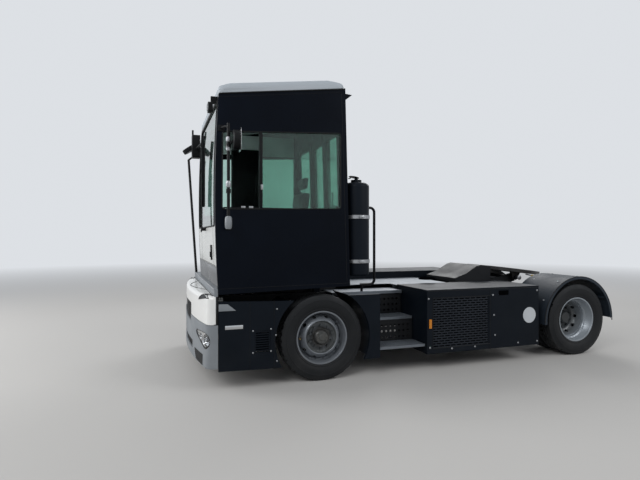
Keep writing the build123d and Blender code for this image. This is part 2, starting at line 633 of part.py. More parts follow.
def arch_angle(z):
    """The angle on the wheel arch, in front of the wheel, where it reaches a height."""
    return math.degrees(math.asin((z - TYRE_R) / ARCH_R))


def liner(first, last):
    """A curved mudguard sheet inside the arch, between two angles."""
    outer = arc_points(FRONT_AXLE_X, TYRE_R, ARCH_R + 8 + LINER_T, first, last, 10)
    inner = arc_points(FRONT_AXLE_X, TYRE_R, ARCH_R + 8, last, first, 10)
    return side_plate(outer + inner, LINER_INNER_Y, HALF_WIDTH - SKIN + 1)


def make_panels():
    """Panels before and behind each front wheel, with the arch's curve, mudguard sheets and louvred vents."""
    low, high = HALF_WIDTH - SKIN, HALF_WIDTH
    top, bottom = arch_angle(PANEL_TOP - 23), arch_angle(PANEL_BOTTOM)
    outline = arc_points(FRONT_AXLE_X, TYRE_R, ARCH_R, top, bottom, 14)
    outline += [(BUMPER_JOINT_X - 4, 214), (BUMPER_JOINT_X - 4, PANEL_TOP)]
    panel = side_plate(outline, low, high)
    x0, x1 = VENT_X
    z0, z1 = VENT_Z
    panel -= block(x0, x1, high - 8, high + 1, z0, z1)
    count = 9
    pitch = (z1 - z0 - 24) / count
    for row in range(count):
        z = z0 + 14 + row * pitch
        panel -= block(x0 + 14, x1 - 14, low - 1, high, z, z + pitch * 0.5)
    front = panel + liner(top - 4, -24)
    save("side_panels", front, mirrored(front))

    first, last = 180 - arch_angle(ARCH_PANEL_TOP), 180 - arch_angle(ARCH_PANEL_BOTTOM)
    outline = arc_points(FRONT_AXLE_X, TYRE_R, ARCH_R, first, last, 14)
    outline += [(ARCH_PANEL_REAR_X, ARCH_PANEL_BOTTOM), (ARCH_PANEL_REAR_X, ARCH_PANEL_TOP)]
    rear = side_plate(outline, low, high) + liner(first + 4, last - 6)
    save("arch_panels", rear, mirrored(rear))


# Steps, deck and rail
STEP_X = (734.0, 143.0)
STEP_DEPTH = 290.0
LOW_STEP_DEPTH = 300.0
LOW_STEP = (320.0, HALF_WIDTH - 30)
HIGH_STEP = (605.0, HALF_WIDTH - 335)
TREAD_EDGE = 28.0
PLATFORM_Z = 900.0
PLATFORM_Y = HALF_WIDTH - 610
RAIL_TUBE_R = 17.0


def pan(x0, x1, y0, y1, top, edge, sheet):
    """A tread or deck plate: a thin sheet with its edges folded down."""
    whole = block(x0, x1, y0, y1, top - edge, top)
    return whole - block(min(x0, x1) + sheet, max(x0, x1) - sheet, min(y0, y1) + sheet, max(y0, y1) - sheet,
                         top - edge - 1, top - sheet)


def make_steps():
    """Treads, perforated risers with their cheeks, deck plates, right cover and the grab rail."""
    x0, x1 = STEP_X
    low_z, low_y = LOW_STEP
    high_z, high_y = HIGH_STEP
    treads = [pan(x0, x1, low_y - LOW_STEP_DEPTH, low_y, low_z, TREAD_EDGE, 4),
              pan(x0, x1, high_y - STEP_DEPTH, high_y, high_z, TREAD_EDGE, 4)]
    save("step_treads", *treads)

    sheet = 5.0
    top = PLATFORM_Z - 4 - FACE_GAP
    low_seat = low_z - TREAD_EDGE - FACE_GAP
    high_seat = high_z - TREAD_EDGE - FACE_GAP
    high_back = high_y - STEP_DEPTH
    wall_y = RAIL_Y[1] + 6
    cheek = [(low_y - 4, low_seat - 6), (low_y - 4, low_seat), (high_y, low_seat), (high_y, high_seat),
             (high_back, high_seat), (high_back, top), (wall_y, top), (wall_y, 780), (600, 520),
             (high_y - 35, low_seat - 6)]
    frame = cross_plate(cheek, x0 - 6, x0) + cross_plate(cheek, x1, x1 + 6)
    for y0, y1 in ((low_y - 100, low_y - 94), (high_y - 15, high_y - 4)):
        frame += block(x0, x1, y0, y1, low_seat - 6, low_seat)
    for z0, z1, y in ((low_seat, high_seat - 2, high_y - 1), (high_seat, top, high_back - 1)):
        riser = block(x0, x1, y - 8, y - 8 + sheet, z0, z1)
        for row in range(3):
            for column in range(9):
                at = Pos(x1 + 60 + column * 59, y, z0 + 70 + row * 72) * Rot(90, 0, 0)
                riser -= at * extrude(RegularPolygon(15, 6), amount=20, both=True)
        frame += riser
    save("step_frame", frame)

    platform = pan(CAB_REAR_LOW[0] - 10, x1 - 8, RAIL_Y[0] - 60, PLATFORM_Y, PLATFORM_Z, 39, 4)
    platform -= block(CAB_REAR_LOW[0], x1 - 20, RAIL_Y[0] - 61, RAIL_Y[1] + 4, 850, RAIL_Z[1] + 1)
    deck = block(BOX_FRONT_X, BOOM_PIVOT_X - DECK_REACH, -BOX_INNER_Y + 2, BOX_INNER_Y - 2, DECK_Z - DECK_T,
                 DECK_Z)
    deck += block(CAB_REAR_LOW[0] - 200, BOX_FRONT_X, -BOX_INNER_Y + 2, RAIL_Y[0] - 70, DECK_Z - DECK_T,
                  DECK_Z)
    for side in (-1, 1):
        y0, y1 = sorted((side * (RAIL_Y[0] + 20), side * (RAIL_Y[1] - 20)))
        deck += block(BOX_FRONT_X, BOOM_PIVOT_X - DECK_REACH, y0, y1, RAIL_Z[1], DECK_Z - DECK_T)
    deck += block(CAB_REAR_LOW[0] - 200, BOX_FRONT_X, -RAIL_Y[1] + 20, -RAIL_Y[0] - 20, RAIL_Z[1],
                  DECK_Z - DECK_T)
    cover = pan(ARCH_PANEL_REAR_X, 2436, -HALF_WIDTH + 5, CAB_RIGHT - 6, 1006, 45, 5)
    cover += block(770, 810, -1100, -1000, 625, 1001) + block(2060, 2100, -1100, -1000, 625, 1001)
    save("deck_plates", platform, deck, cover)

    foot = (ARCH_PANEL_REAR_X - 28, PLATFORM_Y - 20, PLATFORM_Z + 85)
    knee = (522, PLATFORM_Y - 20, PLATFORM_Z + 85)
    shoulder = (522, PLATFORM_Y - 20, 1960)
    wall_x = cab_rear_x(1960 - RAIL_TUBE_R)
    rail = tube([foot, knee, shoulder, (wall_x, PLATFORM_Y - 20, 1960)], RAIL_TUBE_R, 60)
    rail += rod_z(foot[0] - 20, foot[1], PLATFORM_Z, PLATFORM_Z + 85, RAIL_TUBE_R)
    save("grab_rail", rail)


def cab_rear_x(z):
    """The outside of the cab's rear wall at a height."""
    (x0, z0), (x1, z1) = CAB_REAR_LOW, CAB_REAR_HIGH
    return x0 + (x1 - x0) * (z - z0) / (z1 - z0)


# Boxes
COVER_T = 8.0
RIGHT_BOX_TOP = 1050.0
HANDLE_X = (-1046.0, -892.0)
HANDLE_Z = (868.0, 918.0)


def make_boxes():
    """The left box with its mesh panel and screwed cover, and the longer box on the right."""
    z0, z1 = BOX_Z
    box = block(BOX_FRONT_X, BOX_REAR_X, BOX_INNER_Y, HALF_WIDTH, z0, z1)
    box -= block(MESH_FRONT_X, COVER_FRONT_X + 20, HALF_WIDTH - 70, HALF_WIDTH + 1, *MESH_Z)
    box -= block(COVER_FRONT_X, BOX_REAR_X - 1, HALF_WIDTH - COVER_T, HALF_WIDTH + 1, z0 - 1, z1 - 18)
    box -= block(*HANDLE_X, HALF_WIDTH - 40, HALF_WIDTH, *HANDLE_Z)
    for x in (-100, -1380):
        box += block(x - 40, x + 40, RAIL_Y[1], BOX_INNER_Y, 720, 850)
    save("side_box_left", box)

    gap = FACE_GAP
    mesh = block(MESH_FRONT_X - gap, COVER_FRONT_X + 20 + gap, HALF_WIDTH - 14, HALF_WIDTH - 6,
                 MESH_Z[0] + gap,
                 MESH_Z[1] - gap)
    columns, rows = 10, 12
    bay_x = (MESH_FRONT_X - COVER_FRONT_X - 32) / columns
    bay_z = (MESH_Z[1] - MESH_Z[0] - 16) / rows
    for column in range(columns):
        for row in range(rows):
            x = COVER_FRONT_X + 30 + column * bay_x
            z = MESH_Z[0] + 12 + row * bay_z
            mesh -= block(x, x + bay_x - 14, HALF_WIDTH - 20, HALF_WIDTH, z, z + bay_z - 14)
    save("box_grille_left", mesh)

    cover = block(COVER_FRONT_X - gap, BOX_REAR_X, HALF_WIDTH - COVER_T, HALF_WIDTH, z0, z1 - 18 - gap)
    save("box_cover_left", cover - block(*HANDLE_X, HALF_WIDTH - 40, HALF_WIDTH + 1, *HANDLE_Z))

    right = block(ARCH_PANEL_REAR_X - 12, BOX_REAR_X, -BOX_INNER_Y, -HALF_WIDTH, z0, RIGHT_BOX_TOP)
    for x in (-1500, -750, 0):
        right -= block(x - 4, x + 4, -HALF_WIDTH - 1, -HALF_WIDTH + 8, z0 - 1, RIGHT_BOX_TOP - 40)
    right -= block(ARCH_PANEL_REAR_X, BOX_REAR_X - 1, -HALF_WIDTH - 1, -HALF_WIDTH + 8, RIGHT_BOX_TOP - 44,
                   RIGHT_BOX_TOP - 36)
    for x in (500, -100, -1380):
        right += block(x - 40, x + 40, -RAIL_Y[1], -BOX_INNER_Y, 720, 850)
    save("side_box_right", right)


# Canister, fenders and lamps
CANISTER_R = 150.0
CANISTER_Z = (1145.0, 2215.0)
CANISTER_AT = (957.0, 1050.0)
FENDER_R = 582.0
FENDER_T = 8.0
FENDER_Y = (600.0, 1250.0)


def make_fittings():
    """The upright canister in its clamps, the rear fenders on their brackets, tail and marker lamps."""
    x, y = CANISTER_AT
    low, high = CANISTER_Z
    can = rod_z(x, y, low, high, CANISTER_R)
    can = fillet(can.edges().filter_by(GeomType.CIRCLE).sort_by(Axis.Z)[-1], 50)
    can = fillet(can.edges().filter_by(GeomType.CIRCLE).sort_by(Axis.Z)[0], 25)
    can += rod_z(x, y, high, high + 34, 62) + rod_z(x, y, high + 34, high + 60, 20)
    for z in (1311, 1818):
        wall_x = cab_rear_x(z + 20)
        can += rod_z(x, y, z - 20, z + 20, CANISTER_R + 5)
        can += block(x + CANISTER_R - 40, wall_x - 4, y - 60, y + 60, z - 15, z + 15)
        can += side_plate([(wall_x - 12, z - 40), (wall_x - 12, z + 40), (cab_rear_x(z + 40), z + 40),
                           (cab_rear_x(z - 40), z - 40)], y - 80, y + 80)
    save("canister", can)

    inside = FENDER_R - FENDER_T
    outline = arc_points(REAR_AXLE_X, TYRE_R, FENDER_R, -3.4, 180, 24)
    outline += arc_points(REAR_AXLE_X, TYRE_R, inside, 180, -3.4, 24)
    shell = side_plate(outline, *FENDER_Y)
    lip = arc_points(REAR_AXLE_X, TYRE_R, inside + 1, -3.4, 180, 24)
    lip += arc_points(REAR_AXLE_X, TYRE_R, inside - 26, 180, -3.4, 24)
    shell += side_plate(lip, FENDER_Y[1] - 8, FENDER_Y[1])
    for angle in (25, 150):
        turn = math.radians(angle)
        reach = inside - 16
        at_x, at_z = REAR_AXLE_X + reach * math.cos(turn), TYRE_R + reach * math.sin(turn)
        shell += rod_y(at_x, at_z, RAIL_Y[1], FENDER_Y[1] - 30, 17)
    save("rear_fenders", shell, mirrored(shell))

    rear_x = RAIL_REAR_X
    lamps = []
    for side in (-1, 1):
        for start in (380, 440, 500):
            y0, y1 = sorted((side * start, side * (start + 54)))
            lamps.append(block(rear_x - 20, rear_x - 52, y0, y1, 640, 730))
    marker = block(BOX_FRONT_X - 24, BOX_FRONT_X - 58, HALF_WIDTH, HALF_WIDTH + 14, 505, 612)
    save("tail_lamps", *lamps)
    save("side_marker", fillet(marker.edges().filter_by(Axis.Z), 6))


# Cab
WINDOW_ROUND = 30.0
SLIDE_POST_X = 2117.0
SHIELD_Y = (-572.0, 1152.0)
SHIELD_TOP = 3005.0
DOOR_Y = (5.0, 600.0)
DOOR_Z = (1120.0, 3010.0)
DOOR_T = 34.0
DOOR_OPENING_Y = (35.0, 560.0)
DOOR_OPENING_Z = (1150.0, 2980.0)
DOOR_PANE_Y = (65.0, 400.0)
PANE_Z = (1380.0, 2760.0)
REAR_PANES_Y = ((-490.0, -10.0), (610.0, 1020.0))
CAB_MIDDLE = (CAB_LEFT + CAB_RIGHT) / 2


def rounded_plate(points, radius, y0, y1):
    """A plate like side_plate, with round corners."""
    face = fillet(make_face(Polyline(*points, close=True)).vertices(), radius)
    return Pos(0, max(y0, y1), 0) * extrude(Plane.XZ * face, amount=abs(y1 - y0))


def rounded_cross(points, radius, x0, x1):
    """A plate like cross_plate, with round corners."""
    face = fillet(make_face(Polyline(*points, close=True)).vertices(), radius)
    return Pos(min(x0, x1), 0, 0) * extrude(Plane.YZ * face, amount=abs(x1 - x0))


def rectangle(a0, a1, b0, b1):
    """Corner points of a rectangle."""
    return [(a0, b0), (a1, b0), (a1, b1), (a0, b1)]


def front_sheet(outside, thickness, y0, y1):
    """A sheet that follows the cab's bowed front, set in from it and of a thickness."""
    outer = [(x - outside, z) for x, z in (CAB_FRONT_LOW, CAB_FRONT_MID, CAB_FRONT_HIGH)]
    inner = [(x - thickness, z) for x, z in reversed(outer)]
    face = make_face(ThreePointArc(*outer) + Line(outer[2],
                                                  inner[0]) + ThreePointArc(*inner) + Line(inner[2],
                                                                                           outer[0]))
    return Pos(0, y1, 0) * extrude(Plane.XZ * face, amount=y1 - y0)


def rear_sheet(outside, thickness, y0, y1, z0=None, z1=None):
    """A sheet along the cab's sloped rear, set off from its outside; a negative distance is behind it."""
    low = CAB_REAR_LOW[1] if z0 is None else z0
    high = CAB_REAR_HIGH[1] if z1 is None else z1
    x_low, x_high = cab_rear_x(low) + outside, cab_rear_x(high) + outside
    return side_plate([(x_low, low), (x_low + thickness, low), (x_high + thickness, high), (x_high, high)],
                      y0, y1)


def window_points(inset):
    """The side window's outline, moved in by inset."""
    front, rear = SIDE_PANE_X[0] - inset, SIDE_PANE_X[1] + inset
    return [(front, SILL_Z[0] + inset), (front - 6, HEAD_Z[0] - inset), (rear, HEAD_Z[1] - inset),
            (rear, SILL_Z[1] + inset)]


def cab_wall(y0, y1):
    """One side of the cab with its window opening and the sliding pane's post."""
    face = make_face(ThreePointArc(CAB_FRONT_LOW, CAB_FRONT_MID, CAB_FRONT_HIGH) + Line(CAB_FRONT_HIGH,
                                                                                        CAB_REAR_HIGH)
                     + Line(CAB_REAR_HIGH, CAB_REAR_LOW) + Line(CAB_REAR_LOW, CAB_FRONT_LOW))
    wall = Pos(0, y1, 0) * extrude(Plane.XZ * face, amount=y1 - y0)
    opening = rounded_plate(window_points(0), WINDOW_ROUND, y0 - 1, y1 + 1)
    post = block(SLIDE_POST_X - 14, SLIDE_POST_X + 14, y0 + 4, y1 - 4, SILL_Z[0], HEAD_Z[1]) & opening
    return wall - opening + post


def roof_z(x):
    """The height of the cab's roof edge at a place along it."""
    (x0, z0), (x1, z1) = CAB_FRONT_HIGH, CAB_REAR_HIGH
    return z0 + (z1 - z0) * (x - x0) / (x1 - x0)


def make_cab():
    """The hollow cab: floor, walls, bowed front, sloped rear, roof, rounded roof cap and all its panes."""
    left_in, right_in = CAB_LEFT - CAB_WALL, CAB_RIGHT + CAB_WALL
    rear_in = CAB_REAR_LOW[0] + CAB_WALL + 3
    floor = block(rear_in, CAB_FRONT_LOW[0] - CAB_WALL + 2, right_in, left_in, CAB_FLOOR_Z,
                  CAB_FLOOR_Z + CAB_FLOOR_T)
    for side in (-1, 1):
        y0, y1 = sorted((side * (RAIL_Y[0] + 6), side * (RAIL_Y[1] - 6)))
        floor += block(1190, 1270, y0, y1, RAIL_Z[1], CAB_FLOOR_Z)
    save("cab_floor", floor)
    save("cab_wall_left", cab_wall(left_in, CAB_LEFT))
    save("cab_wall_right", cab_wall(CAB_RIGHT, right_in))

    front = front_sheet(0, CAB_WALL, right_in, left_in)
    front -= block(2400, 2700, CAB_RIGHT, CAB_LEFT, 990, SHELF_Z)
    front -= rounded_cross(rectangle(*SHIELD_Y, SHIELD_BOTTOM, SHIELD_TOP), 50, 2400, 2700)
    front -= front_sheet(-1, 5, right_in - 1, left_in + 1) & block(2400, 2700, CAB_RIGHT, CAB_LEFT, 1278,
                                                                   1284)
    save("cab_front", front)

    rear = rear_sheet(0, CAB_WALL, right_in, left_in)
    rear -= rounded_cross(rectangle(*DOOR_OPENING_Y, *DOOR_OPENING_Z), 40, 1000, 1300)
    for y0, y1 in REAR_PANES_Y:
        rear -= rounded_cross(rectangle(y0, y1, *PANE_Z), 40, 1000, 1300)
    rail_y0, rail_y1 = DOOR_Y[0] - (DOOR_Y[1] - DOOR_Y[0]), DOOR_Y[1] + 12
    for z0, z1 in ((DOOR_Z[0] - 34, DOOR_Z[0] - 0.5), (DOOR_Z[1] + 0.5, DOOR_Z[1] + 34)):
        rear += rear_sheet(-MOVE_GAP - DOOR_T - 4, MOVE_GAP + DOOR_T + 5, rail_y0, rail_y1, z0, z1)
    rear += side_plate([(1172, 3200), (1172, 3110), (1070, 3190)], left_in - 12, left_in)
    rear -= side_plate([(2600, roof_z(2600)), (1000, roof_z(1000)), (1000, 3600), (2600, 3600)], -1300, 1300)
    save("cab_rear_wall", rear)

    slope_drop = 40
    inner_front = CAB_FRONT_HIGH[0] - CAB_WALL
    inner_rear = CAB_REAR_HIGH[0] + CAB_WALL
    roof = side_plate([(inner_front, roof_z(inner_front)), (inner_rear, roof_z(inner_rear)),
                       (inner_rear, roof_z(inner_rear) - slope_drop), (inner_front,
                                                                       roof_z(inner_front) - slope_drop)],
                      right_in, left_in)
    save("cab_roof", roof)
    save("roof_cap", roof_cap())

    gap = FACE_GAP
    shield = front_sheet(10, GLASS_T, SHIELD_Y[0] + gap, SHIELD_Y[1] - gap)
    shield &= rounded_cross(rectangle(SHIELD_Y[0] + gap, SHIELD_Y[1] - gap, SHIELD_BOTTOM + gap,
                                      SHIELD_TOP - gap),
                            50, 2400, 2700)
    save("windshield", shield)
    back_left = block(SIDE_PANE_X[1], SLIDE_POST_X - 14 - gap, -2000, 2000, 1800, 2800)
    front_part = block(SLIDE_POST_X + 14 + gap, SIDE_PANE_X[0], -2000, 2000, 1800, 2800)
    left_panes = rounded_plate(window_points(gap), WINDOW_ROUND, CAB_LEFT - 24, CAB_LEFT - 24 + GLASS_T)
    slid_pane = rounded_plate(window_points(gap), WINDOW_ROUND, CAB_LEFT - 14, CAB_LEFT - 14 + GLASS_T)
    right_pane = rounded_plate(window_points(gap), WINDOW_ROUND, CAB_RIGHT + 16, CAB_RIGHT + 16 + GLASS_T)
    save("side_glass", left_panes & back_left, slid_pane & back_left, right_pane & back_left,
         right_pane & front_part)
    rear_glass = []
    for y0, y1 in REAR_PANES_Y:
        pane = rounded_cross(rectangle(y0 + gap, y1 - gap, PANE_Z[0] + gap, PANE_Z[1] - gap), 40, 1000, 1300)
        rear_glass.append(pane & rear_sheet(14, GLASS_T, y0, y1))
    save("rear_glass", *rear_glass)

    leaf = rear_sheet(-MOVE_GAP - DOOR_T, DOOR_T, *DOOR_Y, *DOOR_Z)
    pane_cut = rounded_cross(rectangle(*DOOR_PANE_Y, *PANE_Z), 40, 1000, 1300)
    leaf -= pane_cut
    grip_y = DOOR_Y[1] - 60
    leaf += rod_z(cab_rear_x(2000) - MOVE_GAP - DOOR_T - 40, grip_y, 1750, 2150, 11)
    for z in (1765, 2135):
        x = cab_rear_x(z) - MOVE_GAP - DOOR_T
        leaf += rod_x(grip_y, z, x - 45, x + 2, 10)
    save("cab_door", leaf)
    glass = rounded_cross(rectangle(DOOR_PANE_Y[0] + gap, DOOR_PANE_Y[1] - gap, PANE_Z[0] + gap,
                                    PANE_Z[1] - gap),
                          40, 1000, 1300)
    save("door_glass", glass & rear_sheet(-MOVE_GAP - DOOR_T / 2 - 3, GLASS_T, *DOOR_Y))


CAP_EDGE = 100.0
CAP_CROWN = 165.0
CAP_ROUND = 55.0


def roof_cap():
    """The roof's pillow-like cap, modelled flat from its front edge and then laid on the sloped roof."""
    (x0, z0), (x1, z1) = CAB_FRONT_HIGH, CAB_REAR_HIGH
    length = math.hypot(x1 - x0, z1 - z0)
    width = CAB_LEFT - CAB_RIGHT - 6
    side = make_face(Line((0, 0), (length, 0)) + Line((length, 0), (length, 62))
                     + ThreePointArc((length, 62), (length * 0.5, CAP_CROWN), (0, 76)) + Line((0, 76),
                                                                                              (0, 0)))
    along = Pos(0, width / 2, 0) * extrude(Plane.XZ * side, amount=width)
    across = make_face(Line((-width / 2, 0), (width / 2, 0)) + Line((width / 2, 0), (width / 2, CAP_EDGE))
                       + ThreePointArc((width / 2, CAP_EDGE), (0, CAP_CROWN), (-width / 2, CAP_EDGE))
                       + Line((-width / 2, CAP_EDGE), (-width / 2, 0)))
    cap = along & extrude(Plane.YZ * across, amount=length)
    upper = cap.edges().filter_by(lambda e: e.center().Z > 30 and not on_plane(e, width, length))
    cap = fillet(upper, CAP_ROUND)
    tilt = math.degrees(math.atan2(z1 - z0, x0 - x1))
    return Pos(x0, CAB_MIDDLE, z0) * Rot(0, tilt, 0) * Rot(0, 0, 180) * cap


def on_plane(edge, width, length):
    """True for the cap's inner ridge lines, which lie away from its four upright sides."""
    middle = edge.center()
    side = abs(abs(middle.Y) - width / 2) < 1
    end = middle.X < 1 or middle.X > length - 1
    return not (side or end)


# Inside the cab
SEAT_Y = 440.0
SEAT_X = 1500.0
WHEEL_AT = (2190.0, 1800.0)
WHEEL_R = 205.0
WHEEL_TILT = 35.0


def make_inside():
    """Dashboard, steering wheel on its column, and the driver's seat."""
    top = CAB_FLOOR_Z + CAB_FLOOR_T
    dash = side_plate([(2525, top), (2525, 1640), (2440, 1690), (2330, 1600), (2360, 1400), (2400, top)], 60,
                      860)
    dash += side_plate([(2525, 1500), (2525, 1640), (2450, 1640), (2450, 1500)], -600, 60)
    save("dashboard", dash)

    x, z = WHEEL_AT
    spot = Pos(x, SEAT_Y, z) * Rot(0, -WHEEL_TILT, 0)
    wheel = spot * Torus(WHEEL_R, 14) + spot * Cylinder(45, 36)
    for angle in (30, 150, 270):
        wheel += spot * Rot(0, 0, angle) * Pos(WHEEL_R / 2 + 10, 0, 0) * Box(WHEEL_R - 20, 34, 12)
    middle = Vector(x, SEAT_Y, z)
    down = Vector(math.sin(math.radians(WHEEL_TILT)), 0, -math.cos(math.radians(WHEEL_TILT)))
    wheel += bar(tuple(middle), tuple(middle + down * 330), 26)
    save("steering_wheel", wheel - dash)

    seat = block(SEAT_X + 60, SEAT_X + 360, SEAT_Y - 160, SEAT_Y + 160, top, top + 300)
    cushion = block(SEAT_X, SEAT_X + 480, SEAT_Y - 245, SEAT_Y + 245, top + 300.3, top + 430)
    cushion = fillet(cushion.edges().filter_by(Axis.Y), 35)
    back = side_plate([(SEAT_X - 30, top + 400), (SEAT_X + 70, top + 430.5), (SEAT_X - 20, top + 1050),
                       (SEAT_X - 110, top + 1050)],
                      SEAT_Y - 235, SEAT_Y + 235)
    back -= block(SEAT_X - 2, SEAT_X + 500, 0, 900, top + 300, top + 430.3)
    back = fillet(back.edges().filter_by(Axis.Y).sort_by(Axis.Z)[-2:], 30)
    head = block(SEAT_X - 125, SEAT_X - 45, SEAT_Y - 130, SEAT_Y + 130, top + 1070, top + 1230)
    posts = block(SEAT_X - 90, SEAT_X - 76, SEAT_Y - 70, SEAT_Y - 56, top + 1050, top + 1070)
    posts += block(SEAT_X - 90, SEAT_X - 76, SEAT_Y + 56, SEAT_Y + 70, top + 1050, top + 1070)
    save("seat_base", seat)
    save("seat_cushions", cushion, back + head + posts)


MIRROR_REACH = 1515.0
LEFT_TUBE_X = 2479.5
LEFT_TUBE_Z = (1670.0, 2727.0)
RIGHT_TUBE_TOP = (2688.0, 2756.0)
RIGHT_CASE_X = (2535.0, 2650.0)
RIGHT_CASE_Z = (2765.0, 3105.0)
DISH_TILT = 33.0


def make_mirrors():
    """Mirrors on their tubes at both front corners, the work lamp and the wiper."""
    x = LEFT_TUBE_X
    y = MIRROR_REACH - 145
    low, high = LEFT_TUBE_Z
    left = rod_z(x, y, low, high, 16)
    for z, ahead in ((low + 25, -20), (high - 25, 55)):
        left += bar((x, y, z), (x + ahead, CAB_LEFT + 6, z), 13)
        left += block(x + ahead - 35, x + ahead + 35, CAB_LEFT, CAB_LEFT + 10, z - 30, z + 30)
    for z in (2050, 2500):
        left += rod_z(x, y, z - 22, z + 22, 24)
    left += bar((x, y, 2500), (x - 50, y + 15, 2560), 12)
    head = Pos(x - 71, MIRROR_REACH - 115, 2560) * Rot(0, 90, 0) * extrude(Ellipse(100, 115), amount=35,
                                                                           both=True)
    left += fillet(head.edges(), 12)
    save("mirror_left", left)

    top_x, top_z = RIGHT_TUBE_TOP
    tube_y = 165 - MIRROR_REACH
    case_y = (225 - MIRROR_REACH, 385 - MIRROR_REACH)
    case_middle = sum(case_y) / 2
    foot = (2586, 30 - HALF_WIDTH, SHELF_Z + 20)
    right = bar(foot, (top_x, tube_y, top_z), 18) + bar((top_x, tube_y, top_z),
                                                        (2600, case_y[0] + 20, top_z + 60), 14)
    right += block(foot[0] - 16, foot[0] + 16, foot[1] - 22, foot[1] + 40, SHELF_Z, SHELF_Z + 40)
    case = block(*RIGHT_CASE_X, *case_y, *RIGHT_CASE_Z)
    right += fillet(case.edges().filter_by(Axis.X), 25)
    right += block(RIGHT_CASE_X[1] - 25, RIGHT_CASE_X[1], case_middle - 15, case_middle + 15,
                   RIGHT_CASE_Z[1] - 5, 3180)
    dish_at = (2655, 108 - MIRROR_REACH, 2935)
    dish = Pos(*dish_at) * Rot(0, DISH_TILT, 0) * extrude(Ellipse(125, 108), amount=34, both=True)
    right += fillet(dish.edges(), 12)
    right += bar((2590, case_middle, 3000), (dish_at[0], dish_at[1] + 30, 2965), 12)
    right += bar((2595, case_middle, 2900), (2550, CAB_RIGHT - 20, 2900), 14)
    right += block(2530, 2566, CAB_RIGHT - 34, CAB_RIGHT, 2860, 2940)
    save("mirror_right", right)

    lamp = block(2607, 2655, 1050, 1150, 2885, 2990)
    lamp = fillet(lamp.edges().filter_by(Axis.X), 20)
    lamp += block(2550, 2625, 1085, 1115, 2980, 3055)
    save("work_lamp", lamp - front_sheet(-FACE_GAP, 60, 900, 1200))
    wiper = rod_x(CAB_MIDDLE, 1680, 2580, 2650, 18) + bar((2640, CAB_MIDDLE, 1680),
                                                          (2640, CAB_MIDDLE - 20, 2350), 8)
    wiper += block(2606, 2640, CAB_MIDDLE - 26, CAB_MIDDLE - 14, 1950, 2750)
    save("wiper", wiper - front_sheet(-FACE_GAP, 60, -200, 900))


make_wheels()
make_axles()
make_frame()
make_lift()
make_fifth_wheel()
make_front()
make_panels()
make_steps()
make_boxes()
make_fittings()
make_cab()
make_inside()
make_mirrors()
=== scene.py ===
# %% [markdown]
# # A terminal tractor, dressed in Blender
#
# This lesson gives every part its paint, plastic, rubber, metal or glass, and models what the CAD model
# leaves plain: tyre tread, mesh, screws, seams, the padded seat and the small fittings. Every piece rides
# on one of the CAD model's moving bodies.

# %% The frame
import json
import math

import bmesh
import bpy
from mathutils import Matrix, Vector

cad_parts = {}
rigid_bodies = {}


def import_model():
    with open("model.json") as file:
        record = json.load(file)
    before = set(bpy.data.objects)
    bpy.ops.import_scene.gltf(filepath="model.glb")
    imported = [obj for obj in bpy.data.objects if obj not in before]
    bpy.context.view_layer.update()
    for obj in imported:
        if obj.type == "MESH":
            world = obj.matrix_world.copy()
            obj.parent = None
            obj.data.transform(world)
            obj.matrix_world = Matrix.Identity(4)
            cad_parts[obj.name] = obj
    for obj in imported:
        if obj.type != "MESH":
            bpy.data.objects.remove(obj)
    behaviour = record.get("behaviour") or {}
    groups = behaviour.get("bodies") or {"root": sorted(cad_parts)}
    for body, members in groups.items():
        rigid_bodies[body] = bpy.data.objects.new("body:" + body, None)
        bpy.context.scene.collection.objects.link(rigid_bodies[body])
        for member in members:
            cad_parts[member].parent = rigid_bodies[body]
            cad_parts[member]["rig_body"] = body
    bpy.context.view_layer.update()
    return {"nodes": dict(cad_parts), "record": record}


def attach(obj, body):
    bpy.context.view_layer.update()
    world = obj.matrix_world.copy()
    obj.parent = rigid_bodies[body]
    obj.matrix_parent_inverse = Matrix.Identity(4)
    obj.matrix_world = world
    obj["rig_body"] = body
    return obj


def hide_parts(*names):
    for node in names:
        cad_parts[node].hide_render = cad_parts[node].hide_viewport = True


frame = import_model()
nodes = frame["nodes"]

# %% [markdown]
# ## The camera
#
# The photograph was taken at eye height from beside the left front wheel. The view runs level, so upright
# edges stay upright, and a small lens shift sets the height of the horizon in the picture. The lens and the
# place come from the wheels, whose size is known.

# %% The camera
PICTURE_WIDTH = 640
FOCAL_PIXELS = 480
SENSOR = 36
EYE = Vector((3.176, 6.200, 1.60))
LOOK = Vector((-0.3256, -0.9455, 0.0))
HORIZON_ABOVE_MIDDLE = 4

camera_data = bpy.data.cameras.new("camera")
camera_data.sensor_width = SENSOR
camera_data.lens = SENSOR * FOCAL_PIXELS / PICTURE_WIDTH
camera_data.shift_y = -HORIZON_ABOVE_MIDDLE / PICTURE_WIDTH
camera = bpy.data.objects.new("camera", camera_data)
camera.location = EYE
camera.rotation_euler = LOOK.to_track_quat("-Z", "Y").to_euler()
bpy.context.scene.collection.objects.link(camera)
bpy.context.scene.camera = camera
print("lens", camera_data.lens, "mm")

# %% [markdown]
# ## Makers for shader nodes
#
# A shader is a small network, and a few makers build nearly all of it: a node with its settings, a sum, a
# colour between two others, a value carried to another range, and noise. Each takes numbers or the outputs
# of other nodes, and a colour may be given by three numbers.

# %% Node makers
def feed(tree, socket, value):
    """Links a node's output to a socket, or sets the socket; a colour of three numbers is made opaque."""
    if isinstance(value, bpy.types.NodeSocket):
        tree.links.new(value, socket)
    else:
        socket.default_value = (*value, 1) if socket.type == "RGBA" and len(value) == 3 else value


def dress(tree, node, values):
    """Feeds a node's inputs by their labels, and gives the node back."""
    for label, value in values.items():
        feed(tree, node.inputs[label], value)
    return node


